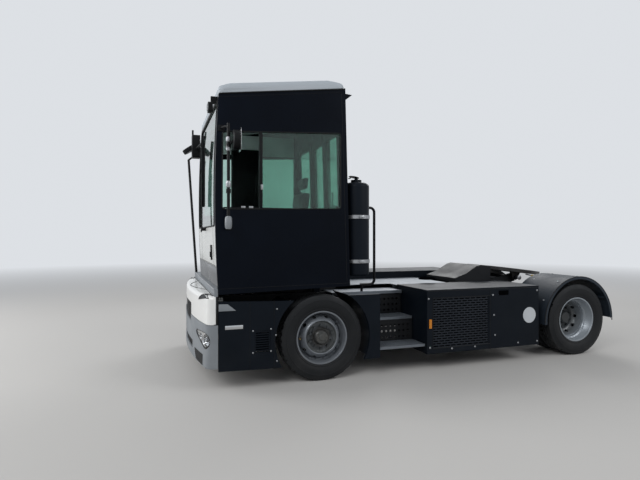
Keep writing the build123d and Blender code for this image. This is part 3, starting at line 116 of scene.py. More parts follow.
def add_node(tree, kind, **settings):
    """A node with settings; a setting named by an input's label is fed to it."""
    node = tree.nodes.new(kind)
    for label, value in settings.items():
        if hasattr(node, label) and label not in node.inputs:
            setattr(node, label, value)
        else:
            feed(tree, node.inputs[label], value)
    return node


def calculate(tree, operation, *values):
    """The result of a math node."""
    node = add_node(tree, "ShaderNodeMath", operation=operation)
    for socket, value in zip(node.inputs, values):
        feed(tree, socket, value)
    return node.outputs[0]


def mixed(tree, share, first, second):
    """A colour between two, by a share."""
    node = add_node(tree, "ShaderNodeMix", data_type="RGBA")
    for number, value in ((0, share), (6, first), (7, second)):
        feed(tree, node.inputs[number], value)
    return node.outputs[2]


def ranged(tree, value, low, high, to_low=0.0, to_high=1.0):
    """A value carried from one range to another, and held at its ends."""
    node = tree.nodes.new("ShaderNodeMapRange")
    for socket, given in zip(node.inputs, (value, low, high, to_low, to_high)):
        feed(tree, socket, given)
    return node.outputs[0]


NOISE_ROUGHNESS = 0.55


def noise(tree, place, scale, detail=4.0):
    """A noise texture's value."""
    node = add_node(tree, "ShaderNodeTexNoise", Vector=place, Scale=scale, Detail=detail,
                    Roughness=NOISE_ROUGHNESS)
    return node.outputs[0]


def place_in(tree, kind="Object"):
    """The shaded point in the object's coordinates, or its normal."""
    return tree.nodes.new("ShaderNodeTexCoord").outputs[kind]


def parts_of(tree, vector):
    """The x, y and z of a vector, as outputs by their letters."""
    return add_node(tree, "ShaderNodeSeparateXYZ", Vector=vector).outputs


def shader_of(name):
    """A new material, with its node tree and its Principled shader."""
    made = bpy.data.materials.new(name)
    made.use_nodes = True
    return made, made.node_tree, made.node_tree.nodes["Principled BSDF"]

# %% [markdown]
# ## Floor, backdrop and light
#
# A studio needs little: a wide pale floor, an evenly pale surround, and broad lamps that give soft shadows.
# The surround lights the object gently, but a ray that comes from the camera, or from gloss or glass, sees
# it paler, so the picture has a clean background without more light on the paint. Far out, the floor fades
# into it, and near the wheels it keeps its shadow.

# %% Floor and light
FLOOR_HALF = 60.0
FLOOR_COLOUR = (0.50, 0.49, 0.475)
FLOOR_ROUGHNESS = 0.85
SURROUND_COLOUR = (0.84, 0.87, 0.91)
AMBIENT_STRENGTH = 0.42
SEEN_STRENGTH = 0.86
FADE_FROM, FADE_TO = 7.5, 24.0
LAMPS = (
    # name, place, aims at, size, power
    ("key", (9.0, 8.0, 9.0), (0.5, 0.0, 1.2), 6.0, 600.0),
    ("side", (-7.0, 9.0, 7.0), (-0.8, 0.0, 1.0), 6.0, 430.0),
    ("back", (-6.0, -8.0, 8.0), (0.0, 0.0, 1.5), 6.0, 460.0),
    ("front", (11.0, -3.0, 5.0), (1.5, 0.0, 1.3), 5.0, 540.0),
)


def seen_ray(tree):
    """One for rays from the camera, from gloss and through glass, and nought for those that carry light."""
    path = tree.nodes.new("ShaderNodeLightPath").outputs
    gloss = calculate(tree, "MAXIMUM", path["Is Camera Ray"], path["Is Glossy Ray"])
    return calculate(tree, "MAXIMUM", gloss, path["Is Transmission Ray"])


studio_floor, tree, ground = shader_of("studio_floor")
dress(tree, ground, {"Base Color": FLOOR_COLOUR, "Roughness": FLOOR_ROUGHNESS})
away = add_node(tree, "ShaderNodeVectorMath", operation="LENGTH")
tree.links.new(place_in(tree), away.inputs[0])
faded = ranged(tree, away.outputs["Value"], FADE_FROM, FADE_TO)
pale = add_node(tree, "ShaderNodeEmission", Color=SURROUND_COLOUR, Strength=SEEN_STRENGTH)
blend = tree.nodes.new("ShaderNodeMixShader")
tree.links.new(calculate(tree, "MULTIPLY", faded, seen_ray(tree)), blend.inputs[0])
tree.links.new(ground.outputs[0], blend.inputs[1])
tree.links.new(pale.outputs[0], blend.inputs[2])
tree.links.new(blend.outputs[0], tree.nodes["Material Output"].inputs["Surface"])

floor_bm = bmesh.new()
bmesh.ops.create_grid(floor_bm, x_segments=1, y_segments=1, size=FLOOR_HALF)
floor_mesh = bpy.data.meshes.new("floor")
floor_bm.to_mesh(floor_mesh)
floor_bm.free()
floor_mesh.materials.append(studio_floor)
floor = bpy.data.objects.new("floor", floor_mesh)
bpy.context.scene.collection.objects.link(floor)

world = bpy.data.worlds.new("studio")
bpy.context.scene.world = world
world.use_nodes = True
surround = world.node_tree.nodes["Background"]
tree = world.node_tree
strength = ranged(tree, seen_ray(tree), 0.0, 1.0, AMBIENT_STRENGTH, SEEN_STRENGTH)
dress(tree, surround, {"Color": SURROUND_COLOUR, "Strength": strength})

for name, place, aim, size, power in LAMPS:
    lamp_data = bpy.data.lights.new(name, "AREA")
    lamp_data.size = size
    lamp_data.energy = power
    lamp = bpy.data.objects.new(name, lamp_data)
    lamp.location = place
    lamp.rotation_euler = (Vector(aim) - Vector(place)).to_track_quat("-Z", "Y").to_euler()
    bpy.context.scene.collection.objects.link(lamp)
bpy.context.scene.view_settings.view_transform = "Standard"
print("lamps:", len(LAMPS))

# %% [markdown]
# ## Small makers for shapes
#
# Nearly every added fitting is a block, a rod, a turned shape or a plate cut from an outline. Each maker
# below builds one in a fresh bmesh and gives back a mesh. The makers bevel their edges, which then catch
# the light as a real edge does, because no edge on a vehicle is perfectly sharp.

# %% Shape makers
WELD = 1e-5
SHARP_CORNER = 0.5


def as_mesh(bm):
    """The mesh of a closed bmesh, with its faces turned outward."""
    bmesh.ops.recalc_face_normals(bm, faces=bm.faces)
    mesh = bpy.data.meshes.new("shape")
    bm.to_mesh(mesh)
    bm.free()
    return mesh


def rounded(bm, width, segments=2):
    """Bevels every edge of a bmesh that has a corner."""
    sharp = [e for e in bm.edges if e.is_manifold and e.calc_face_angle(0) > SHARP_CORNER]
    bmesh.ops.bevel(bm, geom=sharp, offset=width, offset_type="OFFSET", segments=segments, profile=0.5,
                    affect="EDGES", material=-1, clamp_overlap=True)


def ordered(one, other):
    """Two limits, the lower one first."""
    return min(one, other), max(one, other)


def facing(at, direction):
    """A place whose own z axis points along a direction."""
    turn = Vector(direction).to_track_quat("Z", "Y").to_matrix().to_4x4()
    return Matrix.Translation(at) @ turn


def block(x, y, z, edge=0.0, segments=2, turn=None):
    """A block between pairs of limits, with rounded edges, turned about its middle."""
    size = (x[1] - x[0], y[1] - y[0], z[1] - z[0])
    middle = Matrix.Translation(((x[0] + x[1]) / 2, (y[0] + y[1]) / 2, (z[0] + z[1]) / 2))
    bm = bmesh.new()
    bmesh.ops.create_cube(bm, size=1, matrix=Matrix.Diagonal((*size, 1)))
    if edge:
        rounded(bm, edge, segments)
    bm.transform(middle @ (turn or Matrix()))
    return as_mesh(bm)


def rod(start, end, radius, sides, edge=0.0, end_radius=None):
    """A round bar or cone between two points."""
    start, end = Vector(start), Vector(end)
    bm = bmesh.new()
    bmesh.ops.create_cone(bm, cap_ends=True, segments=sides, radius1=radius,
                          radius2=radius if end_radius is None else end_radius, depth=(end - start).length)
    if edge:
        rims = [e for e in bm.edges if abs(e.verts[0].co.z - e.verts[1].co.z) < WELD]
        bmesh.ops.bevel(bm, geom=rims, offset=edge, offset_type="OFFSET", segments=2, profile=0.5,
                        affect="EDGES", material=-1)
    bm.transform(facing((start + end) / 2, end - start))
    return as_mesh(bm)


def turned(profile, place, steps):
    """A lathe shape: (radius, height) points from axis to axis, or a closed ring, spun about a place's z."""
    bm = bmesh.new()
    points = [bm.verts.new((r, 0, h)) for r, h in profile]
    closed = profile[0][0] > 0 and profile[-1][0] > 0
    pairs = list(zip(points, points[1:])) + ([(points[-1], points[0])] if closed else [])
    edges = [bm.edges.new(pair) for pair in pairs]
    bmesh.ops.spin(bm, geom=points + edges, cent=(0, 0, 0), axis=(0, 0, 1), angle=2 * math.pi, steps=steps,
                   use_merge=True)
    bmesh.ops.remove_doubles(bm, verts=bm.verts, dist=WELD)
    bm.transform(place)
    return as_mesh(bm)


def plate(points, thick, place, edge):
    """A flat plate cut from an outline in a place's x and y, as thick as said along its z."""
    bm = bmesh.new()
    face = bm.faces.new([bm.verts.new((a, b, 0)) for a, b in points])
    raised = bmesh.ops.extrude_face_region(bm, geom=[face])["geom"]
    up = [g for g in raised if isinstance(g, bmesh.types.BMVert)]
    bmesh.ops.translate(bm, verts=up, vec=(0, 0, thick))
    rounded(bm, edge)
    bm.transform(place)
    return as_mesh(bm)


def bolt(at, direction, radius, height):
    """A hexagon head on its washer."""
    head = bmesh.new()
    bmesh.ops.create_cone(head, cap_ends=True, segments=16, radius1=radius * 1.35, radius2=radius * 1.35,
                          depth=height * 0.25, matrix=Matrix.Translation((0, 0, height * 0.125)))
    bmesh.ops.create_cone(head, cap_ends=True, segments=6, radius1=radius, radius2=radius * 0.94,
                          depth=height * 0.75, matrix=Matrix.Translation((0, 0, height * 0.62)))
    head.transform(facing(at, direction))
    return as_mesh(head)


def screw(at, direction, radius, height):
    """A domed head with a socket."""
    profile = [(0, height * 0.55), (radius * 0.4, height * 0.55), (radius * 0.42, height),
               (radius * 0.75, height * 0.85), (radius, height * 0.3), (radius, -height * 0.2),
               (0, -height * 0.2)]
    return turned(profile, facing(at, direction), 12)


def swept(points, radius, sides=8, closed=False, smooth=False):
    """A pipe or bead that runs straight from point to point, or in a smooth curve."""
    data = bpy.data.curves.new("line", "CURVE")
    data.dimensions = "3D"
    line = data.splines.new("NURBS" if smooth else "POLY")
    line.points.add(len(points) - 1)
    for target, point in zip(line.points, points):
        target.co = (*point, 1)
    if smooth:
        line.order_u = 3
        line.use_endpoint_u = not closed
    line.use_cyclic_u = closed
    data.bevel_depth = radius
    data.bevel_resolution = max(0, sides // 4 - 1)
    data.use_fill_caps = True
    holder = bpy.data.objects.new("line", data)
    bpy.context.scene.collection.objects.link(holder)
    bpy.context.view_layer.update()
    mesh = bpy.data.meshes.new_from_object(holder)
    bpy.data.objects.remove(holder)
    bm = bmesh.new()
    bm.from_mesh(mesh)
    bmesh.ops.remove_doubles(bm, verts=bm.verts, dist=WELD)
    return as_mesh(bm)


# %% Putting pieces on the tractor
made_pieces = []


def smooth_by_angle(mesh, degrees=32):
    """Smooth shading, except over edges sharper than this."""
    mesh.shade_smooth()
    mesh.set_sharp_from_angle(angle=math.radians(degrees))


def fit(name, body, slot, look, *shapes):
    """Joins shapes into one piece that rides on a body and wears a finish; the slot is not used."""
    bm = bmesh.new()
    for shape in shapes:
        bm.from_mesh(shape)
        bpy.data.meshes.remove(shape)
    mesh = bpy.data.meshes.new(name)
    bm.to_mesh(mesh)
    bm.free()
    mesh.materials.append(finish[look])
    smooth_by_angle(mesh)
    piece = bpy.data.objects.new(name, mesh)
    bpy.context.scene.collection.objects.link(piece)
    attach(piece, body)
    made_pieces.append(piece)
    print(name, "faces:", len(mesh.polygons))
    return piece

# %% [markdown]
# ## Shared effects for the finishes
#
# Paint on a working vehicle is never one colour: it fades in patches, and road dust settles low down. Four
# effects repeat, so each is a node group with named inputs that is built once: weathering (fading and
# dust), grain (fine bumps), rings (distance from a wheel's axle) and weave. A group gives only colours,
# values and normals, and the Principled shader stays in each material.

# %% Node group maker
def new_group(name, inputs, outputs):
    """A shader node group with its sockets, and its input and output nodes."""
    group = bpy.data.node_groups.new(name, "ShaderNodeTree")
    for label, kind, value in inputs:
        group.interface.new_socket(label, in_out="INPUT", socket_type=kind).default_value = value
    for label, kind in outputs:
        group.interface.new_socket(label, in_out="OUTPUT", socket_type=kind)
    return group, group.nodes.new("NodeGroupInput"), group.nodes.new("NodeGroupOutput")

# %% The weathering group
weather, given, result = new_group("weathering", (
    ("Colour", "NodeSocketColor", (0.5, 0.5, 0.5, 1)),
    ("Faded", "NodeSocketColor", (0.5, 0.5, 0.5, 1)),
    ("Patch scale", "NodeSocketFloat", 3.0),
    ("Dust", "NodeSocketFloat", 0.2),
    ("Dust top", "NodeSocketFloat", 1.0),
    ("Roughness", "NodeSocketFloat", 0.4),
    ("Spread", "NodeSocketFloat", 0.1),
), (("Colour", "NodeSocketColor"), ("Roughness", "NodeSocketFloat")))
DUST_COLOUR = (0.25, 0.235, 0.21)
place = place_in(weather)
patches = ranged(weather, noise(weather, place, given.outputs["Patch scale"]), 0.35, 0.68)
specks = noise(weather, place, 60.0, 3.0)
low_down = ranged(weather, parts_of(weather, place)["Z"], given.outputs["Dust top"], 0.0)
drift = ranged(weather, noise(weather, place, 5.0, 6.0), 0.3, 0.75)
settled = calculate(weather, "MULTIPLY", calculate(weather, "MULTIPLY", low_down, low_down), drift)
film = calculate(weather, "MULTIPLY_ADD", settled, 1.0, calculate(weather, "MULTIPLY", specks, 0.12))
dust_mask = calculate(weather, "MINIMUM", calculate(weather, "MULTIPLY", film, given.outputs["Dust"]), 1.0)
paint = mixed(weather, patches, given.outputs["Colour"], given.outputs["Faded"])
weather.links.new(mixed(weather, dust_mask, paint, DUST_COLOUR), result.inputs["Colour"])
off_middle = calculate(weather, "SUBTRACT", patches, 0.5)
sheen_change = calculate(weather, "MULTIPLY", off_middle, given.outputs["Spread"])
base_roughness = calculate(weather, "ADD", given.outputs["Roughness"], sheen_change)
dulled = calculate(weather, "MULTIPLY_ADD", dust_mask, 0.4, base_roughness)
weather.links.new(calculate(weather, "MINIMUM", dulled, 1.0), result.inputs["Roughness"])
print("weathering group:", len(weather.nodes), "nodes")

# %% The grain, ring and weave groups
grain, given, result = new_group("grain", (
    ("Scale", "NodeSocketFloat", 200.0),
    ("Depth", "NodeSocketFloat", 0.1),
), (("Normal", "NodeSocketVector"),))
pebbles = noise(grain, place_in(grain), given.outputs["Scale"], 2.0)
bumps = add_node(grain, "ShaderNodeBump", Height=pebbles, Strength=given.outputs["Depth"], Distance=0.002)
grain.links.new(bumps.outputs["Normal"], result.inputs["Normal"])

rings, given, result = new_group("rings round an axle", (
    ("Axle x", "NodeSocketFloat", 0.0),
    ("Axle z", "NodeSocketFloat", 0.475),
), (("Radius", "NodeSocketFloat"),))
parts = parts_of(rings, place_in(rings))
across = calculate(rings, "SUBTRACT", parts["X"], given.outputs["Axle x"])
up = calculate(rings, "SUBTRACT", parts["Z"], given.outputs["Axle z"])
squares = calculate(rings, "MULTIPLY_ADD", across, across, calculate(rings, "MULTIPLY", up, up))
rings.links.new(calculate(rings, "SQRT", squares), result.inputs["Radius"])

weave, given, result = new_group("weave", (("Threads per metre", "NodeSocketFloat", 900.0),),
                                 (("Thread", "NodeSocketFloat"), ("Normal", "NodeSocketVector")))
parts = parts_of(weave, place_in(weave))
lengthwise = calculate(weave, "ADD", parts["X"], parts["Z"])
waves = []
for along in (lengthwise, parts["Y"]):
    turns = calculate(weave, "MULTIPLY", along, given.outputs["Threads per metre"])
    waves.append(calculate(weave, "SINE", turns))
thread = calculate(weave, "MULTIPLY_ADD", calculate(weave, "MULTIPLY", waves[0], waves[1]), 0.5, 0.5)
weave.links.new(thread, result.inputs["Thread"])
cloth_bump = add_node(weave, "ShaderNodeBump", Height=thread, Strength=0.35, Distance=0.001)
weave.links.new(cloth_bump.outputs["Normal"], result.inputs["Normal"])
print("groups:", [g.name for g in bpy.data.node_groups])

# %% [markdown]
# ## Paints, plastics and metals
#
# The real tractor wears a near-black navy satin on the cab, white on the hood and roof, a textured mid-grey
# bumper, near-black boxes and frame, and galvanised steps. They differ only in numbers, so one table makes
# them all. The touch of blue in the near-black colours is painted sky reflection, over the navy of the cab's
# own paint; a pure black would look like a hole. The roof's white and the round disc's white are darker,
# bluer copies of the white paint, as painted shade.

# %% The table of finishes
FINISHES = (
    # name, colour, faded colour,
    # patch scale, dust, dust top, roughness, spread, grain scale, grain depth, metal, coat, specular
    # the blue touch in this colour is partly the navy paint's own and partly painted sky reflection
    ("cab_paint", (0.0012, 0.0025, 0.0056), (0.0020, 0.0040, 0.0086),
     1.3, 0.008, 2.2, 0.30, 0.08, 900, 0.02, 0.0, 0.0, 0.07),
    ("white_paint", (0.80, 0.805, 0.79), (0.75, 0.755, 0.745),
     2.0, 0.04, 1.2, 0.24, 0.08, 800, 0.01, 0.0, 0.3, 0.5),
    # the roof's white: a darker, bluer copy of the white paint, as painted shade and painted sky reflection
    ("roof_white", (0.40, 0.44, 0.48), (0.37, 0.41, 0.45),
     2.0, 0.08, 3.4, 0.50, 0.08, 800, 0.01, 0.0, 0.0, 0.4),
    ("grey_plastic", (0.215, 0.235, 0.255), (0.180, 0.197, 0.215),
     3.0, 0.14, 0.9, 0.50, 0.10, 1500, 0.16, 0.0, 0.0, 0.4),
    ("panel_paint", (0.0032, 0.0055, 0.0092), (0.0048, 0.0076, 0.0122),
     2.2, 0.020, 1.1, 0.42, 0.12, 1100, 0.08, 0.0, 0.0, 0.09),
    ("black_plastic", (0.0036, 0.0040, 0.0048), (0.0060, 0.0066, 0.0078),
     5.0, 0.04, 1.4, 0.42, 0.12, 1400, 0.18, 0.0, 0.0, 0.14),
    ("frame_paint", (0.0045, 0.0056, 0.0074), (0.0080, 0.0092, 0.0112),
     4.0, 0.07, 1.1, 0.50, 0.12, 700, 0.14, 0.0, 0.0, 0.18),
    ("fender_plastic", (0.0115, 0.0180, 0.0270), (0.0165, 0.0240, 0.0345),
     3.0, 0.035, 1.3, 0.55, 0.10, 1300, 0.2, 0.0, 0.0, 0.24),
    ("hub_grey", (0.045, 0.050, 0.052), (0.065, 0.064, 0.060),
     14.0, 0.3, 1.0, 0.50, 0.15, 500, 0.25, 0.35, 0.0, 0.4),
    ("dark_rubber", (0.0045, 0.0050, 0.0058), (0.0080, 0.0086, 0.0095),
     9.0, 0.14, 1.2, 0.62, 0.10, 900, 0.2, 0.0, 0.0, 0.2),
    ("seal_rubber", (0.0030, 0.0033, 0.0040), (0.0060, 0.0064, 0.0072),
     9.0, 0.03, 1.2, 0.50, 0.10, 900, 0.1, 0.0, 0.0, 0.2),
    ("chrome", (0.62, 0.63, 0.64), (0.52, 0.53, 0.55),
     9.0, 0.05, 1.0, 0.14, 0.12, 600, 0.02, 1.0, 0.0, 0.5),
    ("zinc", (0.36, 0.37, 0.385), (0.26, 0.27, 0.285),
     30.0, 0.2, 1.2, 0.36, 0.15, 500, 0.1, 0.8, 0.0, 0.5),
    ("safety_yellow", (0.72, 0.50, 0.035), (0.60, 0.41, 0.04),
     6.0, 0.3, 1.3, 0.45, 0.10, 700, 0.08, 0.0, 0.0, 0.4),
    # the round disc's white, darkened and blued as painted shade
    ("disc_white", (0.52, 0.55, 0.58), (0.47, 0.50, 0.53),
     6.0, 0.12, 1.0, 0.40, 0.08, 700, 0.03, 0.0, 0.0, 0.4),
    ("mesh_steel", (0.0085, 0.0120, 0.0180), (0.0120, 0.0160, 0.0230),
     3.0, 0.03, 1.1, 0.45, 0.10, 900, 0.05, 0.0, 0.0, 0.2),
    # no gloss: a black for the box latch, and painted shade for a hand hole and the dark space behind the
    # mesh and vents
    ("dull_black", (0.0015, 0.0017, 0.0022), (0.0022, 0.0025, 0.0030),
     6.0, 0.0, 1.1, 0.90, 0.05, 900, 0.05, 0.0, 0.0, 0.0),
    ("brass", (0.50, 0.33, 0.12), (0.36, 0.25, 0.11),
     20.0, 0.3, 1.2, 0.35, 0.12, 500, 0.08, 0.9, 0.0, 0.5),
    ("lining", (0.84, 0.85, 0.86), (0.80, 0.81, 0.82),
     5.0, 0.05, 1.2, 0.80, 0.05, 1200, 0.25, 0.0, 0.0, 0.3),
)
COAT_ROUGHNESS = 0.12
finish = {}


def grouped(tree, group, values):
    """A node group placed in a material, with its inputs fed."""
    node = tree.nodes.new("ShaderNodeGroup")
    node.node_tree = group
    return dress(tree, node, values)


def weathered(tree, shader, colour, faded, patch, dust, dust_top, roughness, spread):
    """The weathering group, which gives a shader its colour and roughness."""
    node = grouped(tree, weather, {"Colour": colour, "Faded": faded, "Patch scale": patch, "Dust": dust,
                                   "Dust top": dust_top, "Roughness": roughness, "Spread": spread})
    dress(tree, shader, {"Base Color": node.outputs["Colour"], "Roughness": node.outputs["Roughness"]})


def grained(tree, shader, scale, depth):
    """The grain group, which gives a shader its normal."""
    node = grouped(tree, grain, {"Scale": scale, "Depth": depth})
    feed(tree, shader.inputs["Normal"], node.outputs["Normal"])


for name, colour, faded, *weathering, grain_scale, depth, metal, coat, specular in FINISHES:
    finish[name], tree, shader = shader_of(name)
    weathered(tree, shader, colour, faded, *weathering)
    grained(tree, shader, grain_scale, depth)
    dress(tree, shader, {"Metallic": metal, "Coat Weight": coat, "Coat Roughness": COAT_ROUGHNESS,
                         "Specular IOR Level": specular})
print("finishes:", len(finish))

# %% [markdown]
# ## Galvanised steel, cast iron and tyre rubber
#
# Hot-dip zinc freezes in flat crystals, the spangle, that a Voronoi texture gives: each cell gets its own
# brightness. The coupling plate is dark cast iron, rubbed bright and greasy on top. Tyre rubber is greyer
# on the tread, where stones and dust scour it, and blacker on the sidewall, so the distance from the axle
# decides.

# %% Galvanised and cast
METAL_SHARE = 0.6
finish["galvanised"], tree, shader = shader_of("galvanised")
spangle = add_node(tree, "ShaderNodeTexVoronoi", Vector=place_in(tree), Scale=85.0).outputs["Color"]
cell = add_node(tree, "ShaderNodeSeparateColor", Color=spangle).outputs["Red"]
# The galvanised tone is far darker than the zinc of screws and straps: painted shade on the steps and deck.
zinc_tone_in_painted_shade = mixed(tree, cell, (0.105, 0.124, 0.146), (0.158, 0.180, 0.206))
weathered(tree, shader, zinc_tone_in_painted_shade, (0.150, 0.170, 0.194), 6.0, 0.14, 1.3, 0.42, 0.16)
feed(tree, shader.inputs["Metallic"], METAL_SHARE)
grained(tree, shader, 300, 0.08)

finish["cast"], tree, shader = shader_of("cast")
place = place_in(tree)
grease = ranged(tree, noise(tree, place, 7.0, 5.0), 0.45, 0.6)
iron = mixed(tree, grease, (0.026, 0.026, 0.027), (0.010, 0.010, 0.0098))
upward = parts_of(tree, place_in(tree, "Normal"))["Z"]
worn = ranged(tree, calculate(tree, "MULTIPLY", upward, noise(tree, place, 22.0, 3.0)), 0.44, 0.6)
rubbed = mixed(tree, worn, iron, (0.052, 0.052, 0.054))
weathered(tree, shader, rubbed, (0.026, 0.025, 0.024), 5.0, 0.25, 1.3, 0.38, 0.2)
feed(tree, shader.inputs["Metallic"], METAL_SHARE)
grained(tree, shader, 260, 0.35)

# %% Rubber and wheels, by distance from the axle
FRONT_AXLE_X = 1.4225
REAR_AXLE_X = -2.2105
AXLE_Z = 0.475
AXLES = {"front": FRONT_AXLE_X, "rear": REAR_AXLE_X}


def radius_from(tree, axle_x):
    """The distance from an axle, from the ring group."""
    return grouped(tree, rings, {"Axle x": axle_x, "Axle z": AXLE_Z}).outputs["Radius"]


def banded(tree, radius, bands):
    """A colour that changes in rings: (radius, colour) pairs, outward."""
    ramp = tree.nodes.new("ShaderNodeValToRGB")
    tree.links.new(radius, ramp.inputs["Fac"])
    stops = ramp.color_ramp.elements
    for place, _ in bands[2:]:
        stops.new(place)
    for stop, (place, colour) in zip(stops, bands):
        stop.position = place
        stop.color = (*colour, 1)
    return ramp.outputs["Color"]


RUBBER_SPECULAR = 0.2
WHEEL_METAL = 0.35
BRAKE_DUST = (0.050, 0.048, 0.046)
DISH = (0.022, 0.027, 0.032)
# The front wheel's silver and rings are darker than the rear's: painted shade on the front wheel.
SILVER_WITH_PAINTED_SHADE = {"front": (0.150, 0.165, 0.185), "rear": (0.265, 0.295, 0.325)}
WHEEL_BANDS = {
    # radius and colour from the hub outward
    "front": ((0.0, (0.022, 0.022, 0.023)), (0.095, (0.030, 0.030, 0.030)), (0.125, DISH),
              (0.172, (0.085, 0.093, 0.096)), (0.182, SILVER_WITH_PAINTED_SHADE["front"]), (0.5, SILVER_WITH_PAINTED_SHADE["front"])),
    "rear": ((0.0, (0.030, 0.033, 0.036)), (0.12, (0.040, 0.045, 0.048)), (0.170, DISH),
             (0.205, (0.12, 0.13, 0.135)), (0.24, SILVER_WITH_PAINTED_SHADE["rear"]), (0.5, SILVER_WITH_PAINTED_SHADE["rear"])),
}
TYRE_BANDS = ((0.0, (0.0045, 0.0055, 0.0070)), (0.40, (0.0055, 0.0066, 0.0082)),
              (0.455, (0.0110, 0.0125, 0.0145)), (0.468, (0.0240, 0.0260, 0.0285)))
for axle, axle_x in AXLES.items():
    name = f"tyre_{axle}"
    finish[name], tree, shader = shader_of(name)
    rubber = banded(tree, radius_from(tree, axle_x), TYRE_BANDS)
    weathered(tree, shader, rubber, (0.0085, 0.0098, 0.0115), 7.0, 0.05, 1.1, 0.58, 0.14)
    feed(tree, shader.inputs["Specular IOR Level"], RUBBER_SPECULAR)
    grained(tree, shader, 900, 0.2)

    name = f"wheel_{axle}"
    finish[name], tree, shader = shader_of(name)
    ring_colours_with_painted_shade = banded(tree, radius_from(tree, axle_x), WHEEL_BANDS[axle])
    specks = ranged(tree, noise(tree, place_in(tree), 16.0, 5.0), 0.5, 0.8)
    dirty = mixed(tree, calculate(tree, "MULTIPLY", specks, 0.35), ring_colours_with_painted_shade, BRAKE_DUST)
    weathered(tree, shader, ring_colours_with_painted_shade, dirty, 9.0, 0.12, 1.0, 0.34, 0.12)
    feed(tree, shader.inputs["Metallic"], WHEEL_METAL)
    grained(tree, shader, 700, 0.06)
print("wheel finishes ready")

# %% [markdown]
# ## Glass and lamps
#
# The cab's panes are green tinted safety glass. Real glass darkens with the length of its path, but on flat
# panes a tinted transmission is enough. Lamp lenses carry fine ribs that spread the light, and a wave
# texture gives them as bumps.

# %% Glass and lenses
GLASSES = (
    # name, colour, roughness, transmission, rib bump, ribs per metre
    ("glass", (0.48, 0.68, 0.61), 0.02, 1.0, 0.0, 0),
    ("lamp", (0.90, 0.92, 0.93), 0.03, 1.0, 0.10, 120),
    ("red_lamp", (0.42, 0.012, 0.010), 0.16, 0.25, 0.5, 260),
    ("amber", (0.80, 0.28, 0.02), 0.16, 0.25, 0.5, 260),
)
GLASS_IOR = 1.45
for name, colour, rough, clear, bump, ribs in GLASSES:
    finish[name], tree, shader = shader_of(name)
    place = place_in(tree)
    smear = ranged(tree, noise(tree, place, 4.0, 6.0), 0.4, 0.7)
    deeper = tuple(c * 0.9 for c in colour)
    dress(tree, shader, {"Base Color": mixed(tree, smear, colour, deeper),
                         "Roughness": ranged(tree, smear, 0.0, 1.0, rough, rough + 0.03),
                         "Transmission Weight": clear, "IOR": GLASS_IOR})
    if ribs:
        wave = add_node(tree, "ShaderNodeTexWave", Vector=place, Scale=ribs / (2 * math.pi) * 0.33,
                        bands_direction="Y")
        ribbed = add_node(tree, "ShaderNodeBump", Height=wave.outputs[0], Strength=bump, Distance=0.002)
        feed(tree, shader.inputs["Normal"], ribbed.outputs["Normal"])

finish["upholstery"], tree, shader = shader_of("upholstery")
cloth = grouped(tree, weave, {"Threads per metre": 2600.0})
threads = mixed(tree, cloth.outputs["Thread"], (0.010, 0.010, 0.012), (0.026, 0.027, 0.031))
weathered(tree, shader, threads, (0.020, 0.020, 0.023), 8.0, 0.1, 1.2, 0.85, 0.08)
dress(tree, shader, {"Normal": cloth.outputs["Normal"], "Sheen Weight": 0.25})
print("materials:", sorted(finish))

# %% [markdown]
# ## A finish for every CAD part
#
# The hard solids keep their CAD shape and only take a finish. Most follow the material slot that the CAD
# record gives them. A few parts of one slot differ on the real tractor, so they are named here. The cab's
# front changes colour with height, white under the windshield and grey below, so its finish reads the
# height.

# %% The cab front's bands
FRONT_BANDS = (
    # lower edge, upper edge, colour
    (0.90, 1.10, (0.11, 0.115, 0.12)),
    (1.10, 1.285, (0.055, 0.060, 0.066)),
    # the white band is a darker copy of the hood's white paint, as painted shade
    (1.285, 1.700, (0.53, 0.54, 0.525)),
)
finish["cab_front"], tree, shader = shader_of("cab_front")
height = parts_of(tree, place_in(tree))["Z"]
colour = (0.0012, 0.0025, 0.0056)
for low, high, band in FRONT_BANDS:
    inside = calculate(tree, "MULTIPLY", calculate(tree, "GREATER_THAN", height, low),
                       calculate(tree, "LESS_THAN", height, high))
    colour = mixed(tree, inside, colour, band)
weathered(tree, shader, colour, colour, 2.0, 0.05, 1.4, 0.30, 0.08)
grained(tree, shader, 900, 0.02)

# %% Finishes on the CAD parts
NODE_FINISH = {
    "side_panels": "panel_paint", "arch_panels": "panel_paint", "side_box_left": "panel_paint",
    "box_cover_left": "panel_paint", "box_grille_left": "frame_paint", "side_box_right": "panel_paint",
    "rear_fenders": "fender_plastic", "cab_front": "cab_front", "front_shelf": "grey_plastic",
    "wheel_front_left": "wheel_front", "wheel_front_right": "wheel_front",
    "wheels_rear_left": "wheel_rear", "wheels_rear_right": "wheel_rear",
    "tyre_front_left": "tyre_front", "tyre_front_right": "tyre_front",
    "tyres_rear_left": "tyre_rear", "tyres_rear_right": "tyre_rear",
    "canister": "panel_paint", "deck_plates": "galvanised", "roof_cap": "roof_white",
}
slot_of = {row["node"]: row["material_slot"] for row in frame["record"]["subparts"]}
for name, node in nodes.items():
    chosen = finish[NODE_FINISH.get(name, slot_of[name])]
    node.data.materials.clear()
    node.data.materials.append(chosen)
print("finished CAD parts:", len(nodes))

# %% [markdown]
# ## Smooth copies of the curved bodies
#
# A CAD mesh is loose triangles, so light breaks on every facet of a curve. For the parts with large curves
# a copy is merged into one skin and shaded smooth up to its real edges, and each real edge gets a narrow
# bevel that catches the light. The copy then stands for its CAD part.

